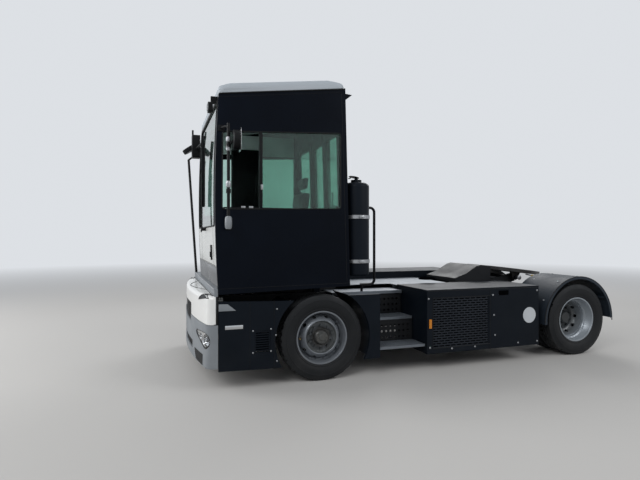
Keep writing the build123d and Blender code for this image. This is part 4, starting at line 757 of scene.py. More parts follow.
# %% Merged and bevelled skins
SKINS = (
    # CAD parts, bevel width
    (("roof_cap", "hood_panel", "front_bumper"), 0.004),
    (("canister", "cab_roof", "cab_wall_left", "cab_wall_right", "cab_rear_wall", "cab_front", "cab_door"),
     0.003),
    (("side_panels", "arch_panels", "rear_fenders", "front_shelf", "side_box_left", "side_box_right",
      "box_cover_left", "deck_plates"), 0.003),
    (("grab_rail", "mirror_left", "mirror_right", "dashboard", "steering_wheel", "seat_base", "work_lamp"),
     0.002),
    (("chassis_frame", "front_axle_beam", "leaf_springs", "rear_axle_housing", "engine_block", "driveshaft",
      "lift_boom", "fifth_wheel_plate", "lift_barrels", "lift_rods", "knuckle_left", "knuckle_right"), 0.002),
    (("wheel_front_left", "wheel_front_right", "wheels_rear_left", "wheels_rear_right"), 0.0),
)
MERGE_DISTANCE = 2e-5
FLAT_WITHIN = math.radians(0.4)
BEVEL_OVER = math.radians(40)


def skin(name, width):
    """A merged, smooth and bevelled copy of a CAD part, which then stands for it."""
    node = nodes[name]
    bm = bmesh.new()
    bm.from_mesh(node.data)
    bmesh.ops.remove_doubles(bm, verts=bm.verts, dist=MERGE_DISTANCE)
    bmesh.ops.dissolve_limit(bm, angle_limit=FLAT_WITHIN, verts=bm.verts, edges=bm.edges, delimit={"NORMAL"})
    mesh = bpy.data.meshes.new(f"{name}_skin")
    bm.to_mesh(mesh)
    bm.free()
    mesh.materials.append(node.data.materials[0])
    smooth_by_angle(mesh, 30)
    piece = bpy.data.objects.new(f"{name}_skin", mesh)
    bpy.context.scene.collection.objects.link(piece)
    if width:
        bevel = piece.modifiers.new("edges", "BEVEL")
        bevel.width = width
        bevel.segments = 2
        bevel.limit_method = "ANGLE"
        bevel.angle_limit = BEVEL_OVER
        bevel.harden_normals = True
        bevel.use_clamp_overlap = True
    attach(piece, node["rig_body"])
    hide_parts(name)
    return piece


for names, width in SKINS:
    for name in names:
        skin(name, width)
    print("skins:", ", ".join(names))

# %% [markdown]
# ## Tyres
#
# A truck tyre is a turned shape: bead, bulging sidewall with its moulded rings, shoulder and crown. The
# steered wheels carry road tyres with four straight grooves and cut shoulders, and the driven wheels have
# block tread. The profile is spun round the axle, and blocks come from sinking every third or fourth strip
# of a rib, which leaves walls at each cut, as a tyre mould does.

# %% The tyre profile
TYRE_R = 0.475
TYRE_HALF = 0.135
TREAD_HALF = 0.112
TREAD_STEPS = 156
GROOVE_DEPTH = 0.013
SIDE_PROFILE = (
    # radius, distance from the middle plane: bead, sidewall with two moulded rings, shoulder
    (0.2900, 0.0900), (0.2940, 0.1120), (0.3000, 0.1190), (0.3090, 0.1205), (0.3130, 0.1238),
    (0.3200, 0.1243), (0.3225, 0.1222), (0.3400, 0.1288), (0.3620, 0.1328), (0.3880, TYRE_HALF),
    (0.4080, 0.1346), (0.4100, 0.1362), (0.4150, 0.1360), (0.4170, 0.1338), (0.4370, 0.1295),
    (0.4520, 0.1238), (0.4610, 0.1195), (0.4670, 0.1165),
)
GROOVES = {"front": (0.020, 0.063), "rear": (0.014, 0.055)}
GROOVE_HALF = {"front": 0.0055, "rear": 0.0050}
CROWN_DROP = 0.0035
RIB_DEPTH = 0.009
SHOULDER_END = 0.118
PAST_GROOVE, BEFORE_GROOVE = 0.008, 0.006
BLOCKS = {
    # one strip in so many is sunk, and by how much
    "front": (4, 0.006), "rear": (3, 0.012),
}


def crown(y):
    """The tread's radius at a distance from the middle, slightly rounded across."""
    return TYRE_R - CROWN_DROP * (y / TREAD_HALF) ** 2


def half_profile(axle):
    """One side of the tyre from bead to the middle of the crown, with its grooves."""
    points = list(SIDE_PROFILE) + [(crown(TREAD_HALF), TREAD_HALF)]
    half = GROOVE_HALF[axle]
    for y in sorted(GROOVES[axle], reverse=True):
        points += [(crown(y), y + half + 0.002), (crown(y) - GROOVE_DEPTH, y + half - 0.001),
                   (crown(y) - GROOVE_DEPTH, y - half + 0.001), (crown(y), y - half - 0.002)]
    return points


def tyre(axle, at):
    """A tyre at a place: the profile spun, and every so many strips of the ribs sunk to cut blocks."""
    sink_every, sink_depth = BLOCKS[axle]
    half = half_profile(axle)
    profile = half + [(r, -y) for r, y in reversed(half)]
    bm = bmesh.new()
    points = [bm.verts.new((r, 0, y)) for r, y in profile]
    edges = [bm.edges.new(pair) for pair in zip(points, points[1:] + points[:1])]
    bmesh.ops.spin(bm, geom=points + edges, cent=(0, 0, 0), axis=(0, 0, 1), angle=2 * math.pi,
                   steps=TREAD_STEPS, use_merge=True)
    bmesh.ops.remove_doubles(bm, verts=bm.verts, dist=WELD)
    step = 2 * math.pi / TREAD_STEPS
    ribs = {"shoulder": (max(GROOVES[axle]) + PAST_GROOVE, SHOULDER_END),
            "inner": (0.0, max(GROOVES[axle]) - BEFORE_GROOVE)}
    cut = []
    for face in bm.faces:
        middle = face.calc_center_median()
        outward = math.hypot(middle.x, middle.y)
        turn = int((math.atan2(middle.y, middle.x) + math.pi) / step)
        for rib, (near, far) in ribs.items():
            if near < abs(middle.z) < far and outward > TYRE_R - RIB_DEPTH:
                shift = 0 if middle.z > 0 else sink_every // 2
                shift += 1 if rib == "inner" else 0
                if (turn + shift) % sink_every == 0 and (rib == "shoulder" or axle == "rear"):
                    cut.append(face)
    sunk = bmesh.ops.extrude_face_region(bm, geom=cut)["geom"]
    for vert in (g for g in sunk if isinstance(g, bmesh.types.BMVert)):
        outward = math.hypot(vert.co.x, vert.co.y)
        vert.co.x *= (outward - sink_depth) / outward
        vert.co.y *= (outward - sink_depth) / outward
    bm.transform(facing(at, (0, 1, 0)))
    return as_mesh(bm)


# %% Tyres on their wheels
FRONT_TYRE_Y = 1.070
REAR_TYRE_Y = (0.770, 1.085)
for side, sign in (("left", 1), ("right", -1)):
    rubber = tyre("front", (FRONT_AXLE_X, sign * FRONT_TYRE_Y, AXLE_Z))
    piece = fit(f"front_tyre_{side}", f"front_wheel_{side}", "tyre", "tyre_front", rubber)
    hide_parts(f"tyre_front_{side}")
    pair = [tyre("rear", (REAR_AXLE_X, sign * y, AXLE_Z)) for y in REAR_TYRE_Y]
    piece = fit(f"rear_tyres_{side}", f"rear_wheels_{side}", "tyre", "tyre_rear", *pair)
    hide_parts(f"tyres_rear_{side}")

# %% [markdown]
# ## Hub bolts and valves
#
# The steered hub ends in a bolted cap with a small raised centre, and each rim has a brass valve that bends
# toward the outside so that it can be reached.

# %% Hub caps and valves
HUB_FACE = 0.1125
HUB_BOLTS = 8
BOLT_CIRCLE = 0.055
VALVE_OUT = {"front": 0.055, "rear": 0.02}
VALVE_PATH = ((0.262, -0.03), (0.262, 0.0), (0.258, 0.03), (0.255, 0.052))
for side, sign in (("left", 1), ("right", -1)):
    middle = Vector((FRONT_AXLE_X, sign * FRONT_TYRE_Y, AXLE_Z))
    face_y = middle.y + sign * HUB_FACE
    cap = [turned([(0, 0.012), (0.030, 0.011), (0.036, 0.004), (0.066, 0.002), (0.070, -0.004), (0, -0.004)],
                  facing((middle.x, face_y, middle.z), (0, sign, 0)), 40)]
    for number in range(HUB_BOLTS):
        turn = 2 * math.pi * number / HUB_BOLTS
        away = Vector((math.cos(turn), 0, math.sin(turn))) * BOLT_CIRCLE
        at = Vector((middle.x, face_y + sign * 0.001, middle.z)) + away
        cap.append(bolt(at, (0, sign, 0), 0.0075, 0.009))
    fit(f"hub_cap_{side}", f"front_wheel_{side}", "wheel_silver", "hub_grey", *cap)
    for axle, rim_y, body in (("front", FRONT_TYRE_Y, f"front_wheel_{side}"),
                              ("rear", REAR_TYRE_Y[1], f"rear_wheels_{side}")):
        foot_y = rim_y + VALVE_OUT[axle]
        path = [(AXLES[axle] + away, sign * (foot_y + out), AXLE_Z) for away, out in VALVE_PATH]
        stem = swept(path, 0.0045, 12, smooth=True)
        cap_top = rod(path[-1], Vector(path[-1]) + Vector((0, sign * 0.012, 0)), 0.0062, 12, 0.001)
        fit(f"valve_{axle}_{side}", body, "chrome", "brass", stem, cap_top)

# %% [markdown]
# ## Finding the surface of a CAD part
#
# Seams, screws and trim have to sit exactly on the bowed bumper and hood. Working the curve out again would
# copy the CAD model by hand, so a straight line is shot at the part instead, and the place where it lands
# and the way the surface faces there are used. A search tree over the part's faces makes that quick.

# %% Shooting at a surface
from mathutils.bvhtree import BVHTree

trees = {}


def tree_of(data):
    """A search tree over a mesh's faces."""
    return BVHTree.FromPolygons([v.co for v in data.vertices], [p.vertices for p in data.polygons])


def landing(names, start, direction):
    """Where a line from a point first meets one of some CAD parts, and the way that part faces there."""
    found = []
    for name in names:
        if name not in trees:
            trees[name] = tree_of(nodes[name].data)
        place, normal, _, distance = trees[name].ray_cast(Vector(start), Vector(direction).normalized())
        if place is not None:
            found.append((distance, place, normal if normal.dot(Vector(direction)) < 0 else -normal))
    if not found:
        raise ValueError(f"no surface of {names} from {tuple(start)}")
    distance, place, normal = min(found, key=lambda hit: hit[0])
    return place, normal


def spaced(corners, every=0.02, closed=False):
    """Points along straight runs between corners."""
    ends = corners[1:] + corners[:1] if closed else corners[1:]
    points = []
    for start, end in zip(corners, ends):
        start, end = Vector(start), Vector(end)
        count = max(1, round((end - start).length / every))
        points += [start.lerp(end, step / count) for step in range(count)]
    return points if closed else points + [Vector(corners[-1])]


def seam(names, corners, direction, radius=0.0016, closed=False):
    """A thin line laid on parts along runs between points, shot from outside."""
    points = [landing(names, point, direction)[0] for point in spaced(corners, closed=closed)]
    return swept(points, radius, closed=closed)


def patch(names, corners, direction, lift, cuts=5):
    """A thin sheet laid on parts: a flat outline cut so that it bends, then shot at the surface."""
    bm = bmesh.new()
    bm.faces.new([bm.verts.new(corner) for corner in corners])
    low = Vector([min(c[i] for c in corners) for i in range(3)])
    high = Vector([max(c[i] for c in corners) for i in range(3)])
    for axis in (1, 2):
        for number in range(1, cuts):
            at = low.lerp(high, number / cuts)
            way = Vector((0, axis == 1, axis == 2))
            geometry = bm.verts[:] + bm.edges[:] + bm.faces[:]
            bmesh.ops.bisect_plane(bm, geom=geometry, plane_co=at, plane_no=way)
    normal_sum = Vector()
    for vert in bm.verts:
        place, normal = landing(names, vert.co, direction)
        vert.co = place + normal * lift
        normal_sum += normal
    bm.normal_update()
    if bm.faces and sum((face.normal for face in bm.faces), Vector()).dot(normal_sum) < 0:
        bmesh.ops.reverse_faces(bm, faces=bm.faces[:])
    bmesh.ops.solidify(bm, geom=bm.faces[:], thickness=lift + 0.001)
    return as_mesh(bm)


print("hood nose at", landing(["hood_panel"], (4, 0, 0.9), (-1, 0, 0))[0])

# %% [markdown]
# ## Headlamps
#
# Each headlamp is a glass teardrop let into the bumper's corner, round at the side and drawn out towards
# the middle. Behind the lens sit a deep bright bowl and two smaller ones for the turn signal, each with its
# bulb shade. The bowls are lathe shapes, and a rubber seal follows the lens's outline on the bumper.

# %% Lamp bowls and seals
LAMP_AT = Vector((2.675, 1.100, 0.525))
LAMP_TURN = math.radians(35)
LAMP_AHEAD = 0.3
BOWL_WALL = 0.003
ROUND_AT = 0.042
SEAL_R = 0.0818
SEAL_TAIL = ((0.020, 0.0808), (-0.2625, 0.0678), (-0.2870, 0.0420), (-0.2660, 0.0162), (0.0035, -0.0728))
BOWLS = (
    # along the lamp, up, radius, depth
    (0.040, 0.000, 0.060, 0.034),
    (-0.105, 0.016, 0.040, 0.026),
    (-0.205, 0.036, 0.024, 0.018),
)


def lamp_point(along, up, side):
    """A point in front of a lamp, at a distance along its outline's middle line."""
    x = LAMP_AT.x - math.sin(LAMP_TURN) * along + math.cos(LAMP_TURN) * LAMP_AHEAD
    y = LAMP_AT.y + math.cos(LAMP_TURN) * along + math.sin(LAMP_TURN) * LAMP_AHEAD
    return Vector((x, side * y, LAMP_AT.z + up))


for side_name, side in (("left", 1), ("right", -1)):
    way = Vector((math.cos(LAMP_TURN), side * math.sin(LAMP_TURN), 0))
    bright = []
    for along, up, radius, depth in BOWLS:
        front = landing(["headlamps", "front_bumper"], lamp_point(along, up, side), -way)[0] - way * 0.010
        bowl = [(radius * 0.12, -depth), (radius * 0.45, -depth * 0.9), (radius * 0.8, -depth * 0.5),
                (radius, 0), (radius + BOWL_WALL, 0), (radius * 0.84, -depth * 0.55 - BOWL_WALL),
                (radius * 0.46, -depth * 0.9 - BOWL_WALL), (radius * 0.12, -depth - BOWL_WALL)]
        bright.append(turned(bowl, facing(front, way), 40))
        shade = [(0, 0), (radius * 0.2, -0.003), (radius * 0.24, -depth * 0.6), (radius * 0.12, -depth),
                 (0, -depth)]
        bright.append(turned(shade, facing(front - way * 0.004, way), 24))
    fit(f"lamp_bowls_{side_name}", "frame", "chrome", "chrome", *bright)
    turns = [math.radians(-118 + 18 * number) for number in range(13)]
    outline = [(ROUND_AT + SEAL_R * math.cos(turn), SEAL_R * math.sin(turn)) for turn in turns]
    rim = [lamp_point(along, up, side) for along, up in (*outline, *SEAL_TAIL)]
    fit(f"lamp_seal_{side_name}", "frame", "black_plastic", "seal_rubber",
        seam(["front_bumper", "headlamps"], rim, -way, 0.0032, closed=True))

# %% [markdown]
# ## Seams and trim of the front end
#
# The hood is closed by a flap on top, so a curved shut line crosses it and a straight one runs behind. At
# each corner a dark foothold is let into the white paint, and a white cover with a black joint closes the
# hood's rear edge. Below, a fine mesh closes the bumper's lower openings. The shelf under the windshield
# has a bright edge strip.

# %% Hood seams, footholds and corner covers
DOWN = (0, 0, -1)
BACK = (-1, 0, 0)
ABOVE = 1.2
half_flap = [(2.752, 0.0), (2.738, 0.140), (2.700, 0.320), (2.650, 0.470), (2.612, 0.560)]
flap = [(x, -y, ABOVE) for x, y in reversed(half_flap)] + [(x, y, ABOVE) for x, y in half_flap[1:]]
rear_line = [(2.6145, -1.16, ABOVE), (2.6145, 1.16, ABOVE)]
hood = ["hood_panel"]
seams = [seam(hood, flap, DOWN, 0.0042), seam(hood, rear_line, DOWN, 0.0035)]
footholds = []
for side in (1, -1):
    way = Vector((-0.75, side * -0.40, -0.52))
    triangle = [Vector((x, side * y, z)) - way * 0.3
                for x, y, z in ((2.728, 0.880, 0.920), (2.634, 1.010, 0.984), (2.652, 1.213, 0.958))]
    footholds.append(patch(hood, triangle, way, 0.0015))
    seams.append(seam(hood, triangle, way, 0.0045, True))
    gap = [(2.634, side * 1.010, ABOVE), (2.612, side * 1.20, ABOVE)]
    seams.append(seam(hood, gap, DOWN, 0.0060))
fit("hood_seams", "frame", "black_plastic", "seal_rubber", *seams)
fit("hood_footholds", "frame", "grey_plastic", "frame_paint", *footholds)
corners, joints = [], []
for side in (1, -1):
    wide, high = ordered(side * 1.200, side * 1.2455), (0.697, 0.984)
    corners.append(block((2.588, 2.6075), wide, high, 0.005, 3))
    joints.append(block((2.566, 2.5885), wide, high, 0.003))
fit("hood_corners", "frame", "white_paint", "white_paint", *corners)
fit("hood_corner_joints", "frame", "black_plastic", "seal_rubber", *joints)

# %% Corner mesh of the bumper
AHEAD = 3.0
MESH_OUTLINE = ((0.700, 0.335), (0.770, 0.262), (0.830, 0.252), (1.060, 0.252), (1.075, 0.368),
                (0.700, 0.368))
mesh_bars = []
bumper = ["front_bumper"]
for side in (1, -1):
    outline = [(AHEAD, side * y, z) for y, z in MESH_OUTLINE]
    mesh_bars.append(patch(bumper, outline, BACK, 0.0015, cuts=8))
    for number in range(6):
        z = 0.262 + number * 0.0185
        reach = 0.700 + 0.07 * max(0.0, (0.335 - z) / 0.073)
        mesh_bars.append(seam(bumper, [(AHEAD, side * reach, z), (AHEAD, side * 1.068, z)], BACK, 0.0045))
    for number in range(9):
        y = side * (0.735 + number * 0.040)
        low = 0.300 if number == 0 else 0.258
        mesh_bars.append(seam(bumper, [(AHEAD, y, low), (AHEAD, y, 0.362)], BACK, 0.0038))
fit("bumper_corner_mesh", "frame", "black_plastic", "black_plastic", *mesh_bars)

# %% Shelf strip, brackets and the cab front's latch
strip = swept([(2.6045, -1.236, 1.0565), (2.6045, 1.236, 1.0565)], 0.0065, 12)
fit("shelf_edge_strip", "frame", "galvanised", "zinc", strip)
brackets = []
for side in (1, -1):
    brackets.append(block((2.516, 2.564), ordered(side * 1.222, side * 1.246), (0.932, 0.950), 0.004))
    for x in (2.529, 2.552):
        brackets.append(bolt((x, side * 1.2455, 0.962), (0, side, 0), 0.008, 0.008))
fit("shelf_brackets", "frame", "galvanised", "hub_grey", *brackets)

latch_at, latch_way = landing(["cab_front"], (4, 0.865, 1.42), BACK)
latch_turn = Matrix.Rotation(math.atan2(-latch_way.z, latch_way.x), 4, "Y")
latch_x = latch_at.x
latch = [block((latch_x - 0.004, latch_x + 0.016), (0.846, 0.884), (1.340, 1.504), 0.005, 2, latch_turn),
         block((latch_x + 0.010, latch_x + 0.024), (0.853, 0.877), (1.370, 1.430), 0.004, 2, latch_turn)]
fit("front_flap_latch", "frame", "black_plastic", "black_plastic", *latch)
flap_seams = [seam(["cab_front"], [(4, y, 1.292), (4, y, 1.690)], BACK) for y in (-0.25, 1.02)]
flap_seams.append(seam(["cab_front"], [(4, -0.56, 1.292), (4, 1.14, 1.292)], BACK, 0.0030))
fit("front_flap_seams", "frame", "black_plastic", "seal_rubber", *flap_seams)

# %% [markdown]
# ## The side panels before the front wheels
#
# Each panel is a painted sheet with two vertical shut lines. On it sit a raised grey corner of the bumper,
# a bare bright plate, screws at the corners of the louvred vent and three more on the strip beside it.
# Every screw is placed from one table, for both sides of the tractor.

# %% Panel fittings
PANEL_Y = 1.250
PANEL_SCREWS = ((2.208, 0.611), (2.208, 0.382), (2.017, 0.620), (2.017, 0.388),
                (1.952, 0.828), (1.963, 0.553), (1.952, 0.277))
PANEL_SEAMS = ((2.240, 0.206, 0.922), (1.982, 0.206, 0.922))
wedge_outline = [(2.562, 0.832), (2.562, 0.905), (2.470, 0.902), (2.385, 0.832)]
upright = Matrix.Rotation(math.pi / 2, 4, "X")
screws, plates, wedges, lines = [], [], [], []
for side in (1, -1):
    face = side * PANEL_Y
    for x, z in PANEL_SCREWS:
        screws.append(screw((x, face, z), (0, side, 0), 0.0095, 0.005))
    deep = ordered(face - side * 0.001, face + side * 0.004)
    plates.append(block((2.313, 2.497), deep, (0.641, 0.681), 0.002))
    outer = Matrix.Translation((0, face + (0.009 if side > 0 else 0.001), 0))
    wedges.append(plate(wedge_outline, 0.010, outer @ upright, 0.003))
    for x, low, high in PANEL_SEAMS:
        lines.append(swept([(x, face, low), (x, face, high)], 0.0020))
fit("panel_screws", "frame", "galvanised", "zinc", *screws)
fit("blank_side_plates", "frame", "chrome", "chrome", *plates)
fit("bumper_ears", "frame", "grey_plastic", "grey_plastic", *wedges)
fit("panel_shut_lines", "frame", "frame_paint", "seal_rubber", *lines)

# %% [markdown]
# ## The side box
#
# The box behind the steps is closed by expanded metal towards the front and by a screwed cover towards the
# rear. Expanded metal is a sheet slit in rows and pulled open, so each row's openings stand half a step
# beside the next. A lattice of flat strands with short ties gives that pattern with few faces, and a dark
# sheet behind it is painted shade for the box's dark inside. The round disc on the cover is plain.

# %% Expanded metal
MESH_X = (-0.7570, 0.0470)
MESH_Z = (0.2700, 0.8550)
MESH_ROWS = 20
MESH_COLUMNS = 10
STRAND = 0.0140
TIE = 0.0130


def bar(bm, x, y, z):
    """Adds a plain bar between limits to a bmesh."""
    middle = [(low + high) / 2 for low, high in (x, y, z)]
    size = [high - low for low, high in (x, y, z)]
    bmesh.ops.create_cube(bm, size=1, matrix=Matrix.Translation(middle) @ Matrix.Diagonal((*size, 1)))


def expanded_metal(x, y, z, rows, columns):
    """Strands and staggered ties that fill a window."""
    bm = bmesh.new()
    high_step, wide_step = (z[1] - z[0]) / rows, (x[1] - x[0]) / columns
    for row in range(rows + 1):
        middle = z[0] + row * high_step
        bar(bm, x, y, (middle - STRAND / 2, middle + STRAND / 2))
        if row == rows:
            break
        for column in range(columns + 1):
            at = x[0] + (column + (row % 2) / 2) * wide_step
            if at <= x[1]:
                tie_y = (y[0] + 0.0005, y[1] - 0.0005)
                bar(bm, (at - TIE / 2, at + TIE / 2), tie_y, (middle, middle + high_step))
    return as_mesh(bm)


grille = expanded_metal(MESH_X, (1.2405, 1.2445), MESH_Z, MESH_ROWS, MESH_COLUMNS)
piece = fit("side_box_mesh", "frame", "black_plastic", "mesh_steel", grille)
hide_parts("box_grille_left")

# %% Screws, disc, latch and edges of the box
BOX_SCREWS = ((0.112, 0.855), (0.093, 0.274), (-0.211, 0.245), (-0.541, 0.245), (-0.808, 0.865),
              (-0.823, 0.615), (-0.838, 0.365), (-1.192, 0.245), (-1.494, 0.245), (-1.494, 0.900))
BOX_FACE = 1.2500
DISC_AT = (-1.370, 0.587)
DISC_R = 0.100
box_screws = [screw((x, BOX_FACE, z), (0, 1, 0), 0.012, 0.006) for x, z in BOX_SCREWS]
fit("box_screws", "frame", "galvanised", "zinc", *box_screws)
disc = turned([(0, 0.0022), (DISC_R - 0.001, 0.0022), (DISC_R, 0.0012), (DISC_R, -0.001), (0, -0.001)],
              facing((DISC_AT[0], BOX_FACE + 0.0002, DISC_AT[1]), (0, 1, 0)), 64)
# The disc's white is darkened as painted shade.
fit("blank_round_plate", "frame", "white_paint", "disc_white", disc)
EDGE_R = 0.005
EDGE_OUT = 0.006
left_x, right_x = MESH_X[0] - EDGE_OUT, MESH_X[1] + EDGE_OUT
low_z, high_z = MESH_Z[0] - EDGE_OUT, MESH_Z[1] + EDGE_OUT
frame_corners = ((left_x, low_z), (right_x, low_z), (right_x, high_z), (left_x, high_z))
frame_line = [(x, 1.2490, z) for x, z in frame_corners]
edges = [swept(frame_line, EDGE_R, closed=True),
         swept([(-0.764, 1.2492, 0.204), (-0.764, 1.2492, 0.938)], 0.0030),
         swept([(-1.518, 1.2492, 0.938), (0.126, 1.2492, 0.946)], 0.0030)]
fit("box_seams", "frame", "frame_paint", "seal_rubber", *edges)
latch_box = [block((-1.040, -0.898), (1.2485, 1.2525), (0.858, 0.914), 0.0015),
             block((-1.020, -0.965), (1.250, 1.256), (0.872, 0.900), 0.003),
             rod((-0.925, 1.250, 0.888), (-0.925, 1.257, 0.888), 0.011, 20, 0.002)]
fit("box_latch", "frame", "galvanised", "dull_black", *latch_box)
# A dark sheet behind the mesh, as painted shade for the box's dark inside.
SHADE_SHEET_OUT = 0.004
mesh_shade_sheet = block((MESH_X[0] - SHADE_SHEET_OUT, MESH_X[1] + SHADE_SHEET_OUT), (1.2340, 1.2360),
                (MESH_Z[0] - SHADE_SHEET_OUT, MESH_Z[1] + SHADE_SHEET_OUT), 0.0005)
fit("mesh_painted_shade_sheet", "frame", "black_plastic", "dull_black", mesh_shade_sheet)

# %% [markdown]
# ## Deck cap and vent backings
#
# A low dark round dome on the deck between the box and the boom is painted shade for a hand hole. Behind
# the louvres of each front side panel a dark sheet keeps daylight out of the slots, and its colour is painted
# shade.

# %% Painted shade: deck hand hole and vent sheets
DECK_HOLE_SHADE = (-0.370, 0.430, 1.006)
hole_shade_profile = [(0, 0.030), (0.070, 0.029), (0.098, 0.024), (0.112, 0.014), (0.115, 0.004), (0.115, -0.001),
               (0, -0.001)]
# A low dark dome without gloss: painted shade for a hand hole.
cap = turned(hole_shade_profile, facing(DECK_HOLE_SHADE, (0, 0, 1)), 64)
fit("deck_hole_painted_shade", "frame", "black_plastic", "dull_black", cap)
# Dark sheets behind the louvres, as painted shade in the slots.
vent_shade_sheets = [block((2.020, 2.200), ordered(side * 1.150, side * 1.154), (0.380, 0.620), 0.001)
            for side in (1, -1)]
fit("vent_painted_shade_sheets", "frame", "black_plastic", "dull_black", *vent_shade_sheets)

# %% [markdown]
# ## Gaskets, latches and the cab's skin details
#
# Bonded and clamped panes both show a black rubber line at their edge. Each gasket is a bead that follows
# its opening, with round corners. The left window's front half stands open: its pane is pushed back along a
# channel, so the channel and two small latches show at the sill.

# %% Round-cornered loops
CORNER_STEPS = 6


def round_loop(corners, radius):
    """Points of a closed outline whose corners are turned with arcs, in two dimensions."""
    points = []
    count = len(corners)
    for number, corner in enumerate(corners):
        corner = Vector(corner)
        before = (Vector(corners[number - 1]) - corner).normalized()
        after = (Vector(corners[(number + 1) % count]) - corner).normalized()
        half = before.angle(after) / 2
        centre = corner + (before + after).normalized() * (radius / math.sin(half))
        run = radius / math.tan(half)
        first, last = corner + before * run - centre, corner + after * run - centre
        for step in range(CORNER_STEPS + 1):
            points.append(tuple(centre + first.lerp(last, step / CORNER_STEPS).normalized() * radius))
    return points


def round_box(x, y, radius):
    """The outline of a rectangle between limits, with round corners."""
    return round_loop(((x[0], y[0]), (x[1], y[0]), (x[1], y[1]), (x[0], y[1])), radius)


BEAD_STEP = 0.06


def bead_on(names, outline, start_x, direction, radius, out=0.0):
    """A closed bead on a part, from an outline in y and z that is shot at its surface from an x."""
    points = []
    for y, z in spaced(outline, BEAD_STEP, closed=True):
        place, normal = landing(names, (start_x, y, z), direction)
        points.append(place + normal * out)
    return swept(points, radius, closed=True)


# %% Gaskets round the panes
AHEAD_WAY = (1, 0, 0)
LEFT_FACE, RIGHT_FACE = 1.240, -0.660
SIDE_WINDOW = ((2.522, 1.879), (2.516, 2.666), (1.2295, 2.734), (1.2295, 1.905))
WINDOW_MIDDLE = (1.9, 2.3)
GROW = 0.004
GASKET_R = 0.0075
REAR_PANES = ((-0.494, -0.006), (0.606, 1.024))
DOOR_PANE = (0.061, 0.404)
REAR_PANE_Z = (1.376, 2.764)
REAR_PANE_ROUND = 0.044
grown = []
for x, z in round_loop(SIDE_WINDOW, 0.030):
    out_x, out_z = math.copysign(GROW, x - WINDOW_MIDDLE[0]), math.copysign(GROW, z - WINDOW_MIDDLE[1])
    grown.append((x + out_x, z + out_z))
gaskets = [swept([(x, y, z) for x, z in grown], GASKET_R, closed=True)
           for y in (LEFT_FACE - 0.001, RIGHT_FACE + 0.001)]
gaskets.append(bead_on(["cab_front"], round_box((-0.577, 1.157), (1.705, 3.010), 0.055), 4, BACK, 0.009))
for wide in REAR_PANES:
    line = round_box(wide, REAR_PANE_Z, REAR_PANE_ROUND)
    gaskets.append(bead_on(["cab_rear_wall"], line, 0, AHEAD_WAY, 0.007, -0.005))
fit("pane_gaskets", "frame", "black_plastic", "seal_rubber", *gaskets)
line = round_box(DOOR_PANE, REAR_PANE_Z, REAR_PANE_ROUND)
door_gasket = bead_on(["cab_door"], line, 0, AHEAD_WAY, 0.006)
fit("door_gasket", "entry_door", "black_plastic", "seal_rubber", door_gasket)

# %% The sliding pane's channel, frame and latches
sill_y = (1.2120, 1.2330)
channel = [block((1.260, 2.508), sill_y, (1.8855, 1.8985), 0.002),
           block((2.1300, 2.1420), (1.2200, 1.2420), (1.900, 2.690), 0.003),
           block((2.1060, 2.1285), (1.2380, 1.2440), (1.905, 2.690), 0.002)]
fit("window_channels", "frame", "black_plastic", "black_plastic", *channel)
latches = [block((2.102, 2.126), (1.242, 1.254), (2.085, 2.140), 0.004)]
for x in (2.308, 2.227):
    latches.append(block((x - 0.022, x + 0.022), (1.236, 1.247), (1.889, 1.911), 0.004))
    latches.append(rod((x, 1.242, 1.900), (x, 1.254, 1.900), 0.008, 16, 0.002))
fit("window_latches", "frame", "galvanised", "zinc", *latches)

# %% [markdown]
# ## Seams and fixings of the cab
#
# The walls are bonded panels with shut lines above the floor, under the roof and at the rear edge, and a
# drip rail runs along the roof's slope on each side.

# %% Wall seams and drip rails
WALLS = ((1, LEFT_FACE, "cab_wall_left"), (-1, RIGHT_FACE, "cab_wall_right"))
WALL_SEAMS = (((1.135, 1.075), (2.560, 1.058)), ((1.205, 3.195), (2.545, 3.020)),
              ((1.150, 1.10), (1.215, 3.18)))
ROOF_REAR, ROOF_FRONT = (1.1695, 3.243), (2.558, 3.061)
ROOF_LEAN = Matrix.Rotation(math.atan2(ROOF_REAR[1] - ROOF_FRONT[1], ROOF_FRONT[0] - ROOF_REAR[0]), 4, "Y")
lines, rails = [], []
for side, face, wall in WALLS:
    for ends in WALL_SEAMS:
        corners = [(x, face + side * 0.5, z) for x, z in ends]
        lines.append(seam([wall], corners, (0, -side, 0), 0.0018))
    wide = ordered(face - side * 0.002, face + side * 0.010)
    rails.append(block((1.172, 2.556), wide, (3.139, 3.151), 0.003, 2, ROOF_LEAN))
fit("cab_shut_lines", "frame", "cab_paint", "seal_rubber", *lines)
fit("drip_rails", "frame", "black_plastic", "seal_rubber", *rails)

# %% [markdown]
# ## Mirrors, work lamp and wiper
#
# A mirror's glass is a thin bright plate in its dark housing, facing back. The left bracket tube is held by
# bright clamps, and its lower end has a round grey knob. The work lamp has a ribbed lens in a bright rim.

# %% Mirror glass
MIRRORS = (
    # CAD part, middle, half width, half height
    ("mirror_left", (1.415, 2.560), 0.070, 0.120),
    ("mirror_right", (-1.215, 2.940), 0.060, 0.135),
)
glasses = []
for name, (y, z), half_y, half_z in MIRRORS:
    outline = round_box((-half_y, half_y), (-half_z, half_z), 0.035)
    place = landing([name], (1.8, y, z), AHEAD_WAY)[0]
    glasses.append(plate(outline, 0.003, facing(place + Vector((-0.001, 0, 0)), (-1, 0, 0)), 0.001))
    print(name, "glass at", place)
fit("mirror_glass", "frame", "chrome", "chrome", *glasses)

